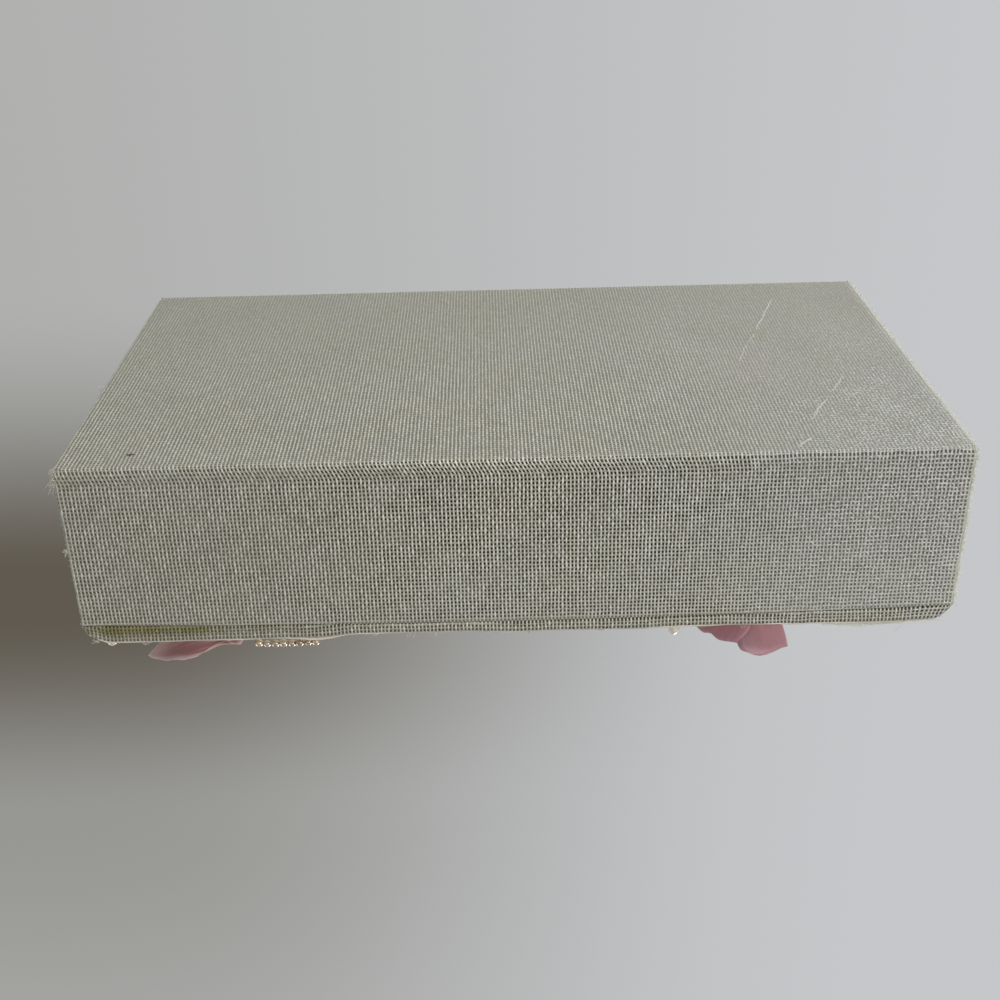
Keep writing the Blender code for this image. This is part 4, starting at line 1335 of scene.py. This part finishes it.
def buildBeads():
    rng = random.Random(11)
    low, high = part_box("edge_bead_row")
    radius, count = beadSizes["bead"] / 2, beadSizes["rowCount"]
    bow = (high.z - low.z - 2 * radius) * beadSizes["rowBow"]
    places = []
    for i in range(count):
        share = i / (count - 1)
        place = Vector((blendValue(low.x + radius, high.x - radius, share),
                        (low.y + high.y) / 2 + beadSizes["rowShift"],
                        low.z + radius + beadSizes["rowLift"] + bow * math.sin(math.pi * share) ** 0.6))
        place.z += swell(place.x, place.y) + rng.uniform(-0.15, 0.15) * mm
        place.x += rng.uniform(-0.12, 0.12) * mm
        places.append(place)
    buildBeadString("edge_beads", "edge_bead_row", places, rng, beadSizes["rowWide"])
    start = middleOf("main_flower_centre").xy
    startRadius = flowerPlans["main_flower"]["radius"] * beadSizes["sprayStart"]
    for word, side in (("left", -1), ("right", 1), ("front_left", 1), ("front_right", -1)):
        end = middleOf(f"{word}_flower_centre").xy
        endRadius = flowerPlans[f"{word}_flower"]["radius"] * beadSizes["sprayStart"]
        along = (end - start).normalized()
        across = Vector((-along.y, along.x)) * side
        first, last = start + along * startRadius, end - along * endRadius
        places = []
        for i in range(beadSizes["sprayCount"]):
            share = i / (beadSizes["sprayCount"] - 1)
            spot = first.lerp(last, share) + across * beadSizes["sprayBow"] * math.sin(math.pi * share)
            places.append(Vector((spot.x, spot.y, panelHigh.z + 0.3 * mm + radius)))
        buildBeadString(f"{word}_bead_spray", f"{word}_spray", places, rng)


def buildPearls():
    for node in [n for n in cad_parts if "_pearl_" in n]:
        low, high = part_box(node)
        share = beadSizes["pearlShares"].get(node, 1.0)
        radius = beadSizes["pearl"] / 2 * share
        middle = (low + high) / 2
        middle.z = low.z + radius
        middle += Vector(beadSizes["pearlShift"].get(node, (0, 0, 0)))
        middle.z += swell(middle.x, middle.y)
        mesh = ballMesh(middle, radius, beadSizes["pearlHole"], (1, 0.2, 0.1), 24, 16)
        piece = addPiece(node.replace("pearl", "sewn_pearl"), mesh, pearlLustre)
        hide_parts(node)
        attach(piece, "lid")


def buildFlowers():
    rng = random.Random(5)
    for flower, plan in flowerPlans.items():
        for index in range(len(plan["layers"])):
            buildLayer(flower, plan, index, rng)
        buildCentre(flower)


leafShape = {
    "turns": {"leaf_1": ("main_flower", 180.0), "leaf_2": ("main_flower", -75.6),
              "leaf_3": ("right_flower", 18.0), "leaf_4": ("left_flower", -135.0)},
    "length": 21 * mm, "width": 9 * mm, "rise": 2.2 * mm, "start": 0.5,
}
looseShape = {"hingeRise": 1.1 * mm, "rise": 3.2 * mm, "width": 0.98}


def buildLeaves():
    rng = random.Random(8)
    for node, (flower, turn) in leafShape["turns"].items():
        angle = math.radians(turn)
        centre = middleOf(f"{flower}_centre")
        centre.z = panelHigh.z + 0.3 * mm
        outward = Vector((math.cos(angle), math.sin(angle), 0))
        start = centre + outward * flowerPlans[flower]["radius"] * leafShape["start"]
        rows, petal = petalRows(start, angle, leafShape["length"], leafShape["width"], leafShape["rise"],
                                petalLooks["leaf"], rng)
        name = f"{node}_blade"
        mesh = meshFromRows(name, rows, {"petal": petal}, flip=True)
        piece = thicken(addPiece(name, mesh, petalCloths["sageCloth"]), flowerShape["thickness"], 1)
        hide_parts(node)
        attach(piece, "lid")
    for node in [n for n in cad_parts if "_petal_" in n]:
        low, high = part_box(node)
        toHinge = node.startswith("hinge")
        angle = math.pi / 2 if toHinge else -math.pi / 2
        start = Vector(((low.x + high.x) / 2, low.y if toHinge else high.y, low.z))
        finish = "palePinkCloth" if toHinge else "creamCloth"
        rise = looseShape["hingeRise"] if toHinge else looseShape["rise"]
        width = (high.x - low.x) * looseShape["width"]
        rows, petal = petalRows(start, angle, high.y - low.y, width, rise, petalLooks["loose"], rng)
        for point in (point for row in rows for point in row):
            point.z += swell(point.x, point.y)
        name = node.replace("petal", "loose_petal")
        mesh = meshFromRows(name, rows, {"petal": petal}, flip=True)
        piece = thicken(addPiece(name, mesh, petalCloths[finish]), flowerShape["thickness"], 1)
        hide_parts(node)
        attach(piece, "lid")


# loose threads, frayed edges and stray filaments

def addHairs(name, strands, radius, material, body):
    curve = bpy.data.curves.new(name, "CURVE")
    curve.dimensions = "3D"
    curve.bevel_depth = radius
    curve.bevel_resolution = 1
    curve.use_fill_caps = True
    for points in strands:
        # nothing hangs below the surface that the box stands on, or stands in the open lid's way
        points = [Vector((p.x, min(p.y, halfDepth + 0.12 * mm), max(p.z, -0.3 * mm))) for p in points]
        spline = curve.splines.new("POLY")
        spline.points.add(len(points) - 1)
        for point, target in zip(points, spline.points):
            target.co = (*point, 1)
            target.radius = 1.0
    curve.materials.append(material)
    piece = bpy.data.objects.new(name, curve)
    bpy.context.scene.collection.objects.link(piece)
    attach(piece, body)


def strand(rng, start, direction, length, curl, count=7):
    points, heading = [Vector(start)], Vector(direction).normalized()
    for _ in range(count):
        heading = (heading + Vector((rng.gauss(0, 1), rng.gauss(0, 1), rng.gauss(0, 1))) * curl).normalized()
        points.append(points[-1] + heading * length / count)
    return points


# radii of the threads, then how many there are of each kind
frayShape = {
    "yarn": 0.045 * mm, "fine": 0.028 * mm, "soft": 0.042 * mm, "filament": 0.085 * mm, "fleck": 0.09 * mm,
    "edgeGap": 2.2 * mm, "tuft": 80, "longEnds": 7, "sideTuft": 16, "underTuft": 10, "fringe": 1100,
    "farFringe": 300, "satinEnds": 30, "softFringe": 340, "rimEnds": 60, "flecks": 5,
}


def buildFrays():
    rng = random.Random(23)
    hl, hd = halfLength, halfDepth

    def span(low, high):
        return rng.uniform(low, high) * mm

    tufts = []
    for _ in range(frayShape["tuft"]):  # the worn corner at the left end of the fold
        start = (-hl + span(0, 1.2), hd - span(0, 0.8), span(0.2, 4.5))
        way = (-1.0, rng.uniform(-0.3, 0.5), rng.uniform(-0.5, 1.6))
        tufts.append(strand(rng, start, way, span(0.6, 2.1), 0.5))
    for _ in range(frayShape["longEnds"]):  # longer ends that hang down from it
        start = (-hl + span(-0.6, 0.4), hd - span(0, 0.5), span(2.0, 5.0))
        tufts.append(strand(rng, start, (-0.45, 0.1, 1.0), span(2.0, 3.8), 0.22))
    for _ in range(frayShape["sideTuft"]):  # small tuft half way down the left edge
        start = (-hl + 0.1 * mm, hd - 0.3 * mm, 23.6 * mm + span(-0.5, 0.5))
        way = (-1.0, 0.2, rng.uniform(-0.6, 0.6))
        tufts.append(strand(rng, start, way, span(0.8, 2.2), 0.35))
    for _ in range(frayShape["underTuft"]):  # and one on the underside's left edge
        start = (-hl + 0.1 * mm, 11.9 * mm + span(-0.4, 0.4), 0.3 * mm)
        tufts.append(strand(rng, start, (-1.0, rng.uniform(-0.3, 0.3), 0.1), span(1.2, 2.6), 0.3))
    addHairs("case_tufts", tufts, frayShape["yarn"], looseYarn, "tray")

    edges = []
    for side in (-1, 1):
        z = 1.5 * mm
        while z < caseHigh.z:  # weft ends along the spine's two upright edges
            start = (side * (hl - 0.15 * mm), hd - span(0.05, 0.4), z)
            edges.append(strand(rng, start, (side, rng.uniform(-0.6, 0.4), rng.uniform(-0.7, 0.7)),
                                span(0.2, 0.6), 0.3, 4))
            z += frayShape["edgeGap"] * rng.uniform(0.5, 1.5)
        y = -hd + 1 * mm
        while y < hd:  # and along the underside's two ends
            start = (side * (hl - 0.1 * mm), y, 0.35 * mm + span(0, 0.3))
            edges.append(strand(rng, start, (side, rng.uniform(-0.6, 0.6), rng.uniform(-0.3, 0.5)),
                                span(0.2, 0.5), 0.3, 4))
            y += frayShape["edgeGap"] * rng.uniform(0.7, 2.2)
    addHairs("case_edge_threads", edges, frayShape["fine"], looseYarn, "tray")

    fringe = []
    for _ in range(frayShape["fringe"]):  # soft pale fringe down the right end of spine and underside
        z = span(0.5, 46.5)
        start = (hl - 0.3 * mm, hd - span(0.0, 0.3), z)
        if rng.random() < 0.5:
            start = (hl - 0.3 * mm, hd - 130 * mm * rng.random() ** 1.3, span(0.0, 0.6))
        fringe.append(strand(rng, start, (1, rng.uniform(-0.5, 0.5), rng.uniform(-0.6, 0.6)),
                             span(0.7, 1.7), 0.4, 4))
    for _ in range(frayShape["farFringe"]):  # and along the far edge of the underside
        start = (rng.uniform(-0.965, 0.965) * hl, -hd + 0.2 * mm, span(0.0, 0.5))
        fringe.append(strand(rng, start, (rng.uniform(-0.8, 0.8), -1, rng.uniform(-0.2, 0.2)),
                             span(0.4, 1.1), 0.28, 4))
    addHairs("pale_fringe", fringe, frayShape["soft"], paleFringe, "tray")

    lidEnds = []
    for _ in range(frayShape["satinEnds"]):  # frayed satin at the right end of the lid's hinge edge
        x = blendValue(96.0, 111.0, rng.random()) * mm
        start = (x, hd - span(0.0, 0.4), panelHigh.z + swell(x, hd) + span(-0.5, 0.0))
        lidEnds.append(strand(rng, start, (rng.choice((-1, 1)), 0.15, rng.uniform(-0.05, 0.25)),
                              span(2.0, 6.0), 0.12))
    for x, count in ((-113.2, 12), (-28.4, 5), (-21.8, 6), (43.0, 5), (60.0, 4), (93.5, 10)):
        for _ in range(count):  # knots and ends that hang under the edge
            start = (x * mm + span(-1, 1), hd - span(0.2, 0.8), panelHigh.z + swell(x * mm, hd))
            lidEnds.append(strand(rng, start, (rng.uniform(-1, 1), 0.3, rng.uniform(0.3, 1.0)),
                                  span(0.8, 2.2), 0.4))
    soft = []
    for _ in range(frayShape["softFringe"]):  # short soft fringe that hangs beside it
        x = blendValue(82.0, 103.0, rng.random()) * mm
        start = (x, hd - span(0.0, 0.6), panelHigh.z + swell(x, hd) - span(0.0, 0.6))
        soft.append(strand(rng, start, (rng.uniform(-1, 1), 0.1, rng.uniform(0.7, 1.4)),
                           span(0.8, 2.1) * (1 - 0.55 * abs(x / mm - 92) / 11), 0.35, 5))
    addHairs("lid_edge_fringe", soft, frayShape["soft"], paleFringe, "lid")
    addHairs("lid_edge_threads", lidEnds, frayShape["yarn"] * 0.9, looseYarn, "lid")

    rim = []
    for _ in range(frayShape["rimEnds"]):  # thread ends that stand out of the satin's other edges
        side = rng.choice((-1, 1))
        start = (side * (panelHigh.x - 0.2 * mm), rng.uniform(-0.95, 0.8) * hd, panelHigh.z - 0.2 * mm)
        way = (side, rng.uniform(-0.8, 0.8), rng.uniform(-0.3, 0.4))
        if rng.random() < 0.5:
            start = (rng.uniform(-0.95, 0.95) * hl, -panelHigh.y + 0.2 * mm, panelHigh.z - 0.2 * mm)
            way = (rng.uniform(-0.8, 0.8), -1, rng.uniform(-0.3, 0.4))
        rim.append(strand(rng, start, way, span(0.3, 1.0), 0.3, 4))
    addHairs("satin_edge_threads", rim, frayShape["fine"], looseYarn, "lid")

    # stray metallic filaments on the underside, each from one place to another in millimetres
    scratches = []
    for (x0, y0), (x1, y1), count in (((90.2, -57.9), (72.1, -10.9), 2), ((76.0, -19.0), (71.5, -9.5), 2),
                                      ((71.5, -9.5), (64.7, 9.5), 1), ((93.8, 17.4), (85.5, 33.0), 2),
                                      ((85.5, 33.0), (76.5, 49.5), 3), ((76.0, 57.6), (70.0, 64.0), 3)):
        for _ in range(count):
            points = []
            for i in range(15):
                share = i / 14
                wobble = rng.uniform(-0.35, 0.35)
                points.append(Vector(((blendValue(x0, x1, share) + wobble) * mm,
                                      (blendValue(y0, y1, share) + wobble) * mm, -0.02 * mm)))
            cut = rng.randint(0, 3)
            scratches.append(points[cut:cut + rng.randint(8, 12)])
    addHairs("stray_filaments", scratches, frayShape["filament"], silverFilament, "tray")
    fleck = []
    for _ in range(frayShape["flecks"]):  # dark fleck on the underside near the fold's left end
        start = (-98.1 * mm + span(-0.9, 0.5), 57.8 * mm + span(-0.3, 0.3), -0.08 * mm)
        fleck.append(strand(rng, start, (1, rng.uniform(-0.5, 0.1), 0), span(0.5, 1.1), 0.15, 4))
    addHairs("dark_fleck", fleck, frayShape["fleck"], darkFleck, "tray")


buildWallCloth()
buildLidCore()
buildLidCloth()
print("walls and lid covered")
buildSatinPanel()
buildGrooveCloth()
buildLiner()
buildCards()
print("hinge and linings done")
buildFlowers()
buildLeaves()
buildBeads()
buildPearls()
print("flowers and beads done")
buildFrays()
for node in ("base_board", "spine_board", "front_wall_board", "left_wall_board", "right_wall_board"):
    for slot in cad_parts[node].material_slots:
        slot.material = pressedBoard
print("threads and boards done")


# stage, light and camera

stageSettings = {
    "floor": (0.80, 0.80, 0.79, 1), "farGlow": (0.52, 0.52, 0.52, 1), "size": 6.0, "drop": 0.35 * mm,
    "ambient": 0.22, "ambientColour": (0.80, 0.81, 0.82, 1), "shade": (0.27, 0.235, 0.185, 1),
    "paperLeft": (0.43, 0.435, 0.425, 1), "paperRight": (0.56, 0.57, 0.588, 1),
    "above": (0.80, 0.81, 0.82, 1),
}
lampSettings = {
    # place, aim, watts, width, colour
    "belowKey": ((0.30, 0.33, -1.0), (0.0, 0.0, 0.02), 7.15, 0.34, (0.975, 0.985, 1.0)),
    "belowFill": ((0.93, 0.80, -0.15), (0.0, 0.0, 0.02), 5.95, 0.7, (1.0, 0.955, 0.865)),
    "aboveKey": ((0.45, -0.50, 0.95), (0.0, 0.0, 0.03), 9.0, 0.5, (1.0, 1.0, 1.0)),
    "aboveFill": ((-0.85, 0.15, 0.75), (0.0, 0.0, 0.03), 4.5, 0.7, (1.0, 1.0, 1.0)),
}
photoCamera = {"lens": 48.147, "sensor": 36.0, "place": (-0.00554, 0.36678, -0.14590),
               "pitch": 0.4817, "yaw": -0.0050, "roll": -0.0229}


def oneSidedMaterial(name, colour):
    # seen from its front only, so that each view keeps its own clear sight of the box
    material, tree, shader = newMaterial(name)
    mottle = useGroup(tree, mottleGroup, Place=placeOf(tree), Scale=3.0, Amount=0.02)
    side = tree.nodes.new("ShaderNodeNewGeometry")
    east, north, _ = splitXyz(tree, side.outputs["Position"])
    away = calc(tree, "SQRT", plus(tree, times(tree, east, east), times(tree, north, north)))
    # far from the box the floor glows, painted light that brightens the floor further from the box
    glow = mixColour(tree, remap(tree, away, 0.35, 2.2), (0, 0, 0, 1), stageSettings["farGlow"])
    feedAll(tree, shader, {
        "Base Color": shadeBy(tree, colour, mottle["Shade"]), "Roughness": 0.9, "Specular IOR Level": 0.1,
        "Alpha": minus(tree, 1.0, side.outputs["Backfacing"]), "Emission Color": glow,
        "Emission Strength": 1.0})
    return material


def addStage(name, corners, material):
    form = bmesh.new()
    form.faces.new([form.verts.new(corner) for corner in corners])
    plane = addPiece(name, meshOf(form, name), material)
    for kind in ("diffuse", "glossy", "transmission", "volume_scatter", "shadow"):
        setattr(plane, f"visible_{kind}", False)


def paperColour(tree):
    # pale paper behind the box, painted a little brighter to one side as if lit from there, with a painted
    # soft shadow of the box low on the other
    east, north, up = splitXyz(tree, tree.nodes.new("ShaderNodeTexCoord").outputs["Generated"])
    south = times(tree, north, -1.0)
    depth = larger(tree, south, 0.25)
    across = calc(tree, "DIVIDE", east, depth)
    rise = calc(tree, "DIVIDE", up, depth)
    sides = remap(tree, across, -0.45, 0.45)
    paper = mixColour(tree, sides, stageSettings["paperLeft"], stageSettings["paperRight"])
    fading = times(tree, remap(tree, rise, 0.86, 0.62, 0.38, 1.0), remap(tree, rise, 1.20, 0.84, 0.4, 1.0))
    shade = times(tree, remap(tree, rise, 0.33, 0.59), fading)
    shade = times(tree, shade, remap(tree, across, 0.26, -0.34))
    shade = times(tree, shade, remap(tree, south, 0.35, 0.6))
    dark = mixColour(tree, shade, (1, 1, 1, 1), stageSettings["shade"])
    paper = mixColour(tree, 1.0, paper, dark, "MULTIPLY")
    return mixColour(tree, remap(tree, up, 0.06, -0.02), paper, stageSettings["above"])


def buildStage():
    size, floor = stageSettings["size"], -stageSettings["drop"]
    corners = [(x * size, y * size, floor) for x, y in ((-1, -1), (1, -1), (1, 1), (-1, 1))]
    addStage("floor", corners, oneSidedMaterial("paleFloor", stageSettings["floor"]))
    world = bpy.data.worlds.new("studioWorld")
    bpy.context.scene.world = world
    world.use_nodes = True
    tree = world.node_tree
    tree.nodes.clear()
    # the paper is what is seen and mirrored, and an even light is what reaches the box
    lit, seen = [tree.nodes.new("ShaderNodeBackground") for _ in range(2)]
    feedAll(tree, lit.inputs, {"Color": stageSettings["ambientColour"], "Strength": stageSettings["ambient"]})
    feed(tree, paperColour(tree), seen.inputs["Color"])
    rays = tree.nodes.new("ShaderNodeLightPath").outputs
    mirrored = larger(tree, rays["Is Glossy Ray"], rays["Is Transmission Ray"])
    share = larger(tree, rays["Is Camera Ray"], mirrored)
    mix = tree.nodes.new("ShaderNodeMixShader")
    output = tree.nodes.new("ShaderNodeOutputWorld")
    for value, socket in zip((share, lit.outputs[0], seen.outputs[0]), mix.inputs):
        feed(tree, value, socket)
    feed(tree, mix.outputs[0], output.inputs["Surface"])


def buildLamps():
    for name, (place, aim, watts, width, colour) in lampSettings.items():
        lamp = bpy.data.lights.new(name, "AREA")
        lamp.shape = "SQUARE"
        lamp.energy = watts
        lamp.color = colour
        lamp.size = width
        holder = bpy.data.objects.new(name, lamp)
        bpy.context.scene.collection.objects.link(holder)
        holder.location = place
        holder.rotation_mode = "QUATERNION"
        holder.rotation_quaternion = (Vector(aim) - Vector(place)).to_track_quat("-Z", "Y")
        holder.visible_camera = False


def buildCamera():
    lens = bpy.data.cameras.new("photoCamera")
    lens.lens = photoCamera["lens"]
    lens.sensor_width = photoCamera["sensor"]
    lens.clip_start = 0.01
    lens.clip_end = 50.0
    camera = bpy.data.objects.new("photoCamera", lens)
    bpy.context.scene.collection.objects.link(camera)
    # the box lies on its lid in the photograph, so the camera is turned over with it
    turned = Matrix.Rotation(math.pi, 4, "X") @ Matrix.Rotation(photoCamera["yaw"], 4, "Z")
    tilted = Matrix.Rotation(math.pi / 2 - photoCamera["pitch"], 4, "X")
    tilted = tilted @ Matrix.Rotation(photoCamera["roll"], 4, "Z")
    camera.matrix_world = Matrix.Translation(photoCamera["place"]) @ turned @ tilted
    bpy.context.scene.camera = camera


buildStage()
buildLamps()
buildCamera()
bpy.context.scene.view_settings.view_transform = "Standard"
print("stage, lamps and camera set")
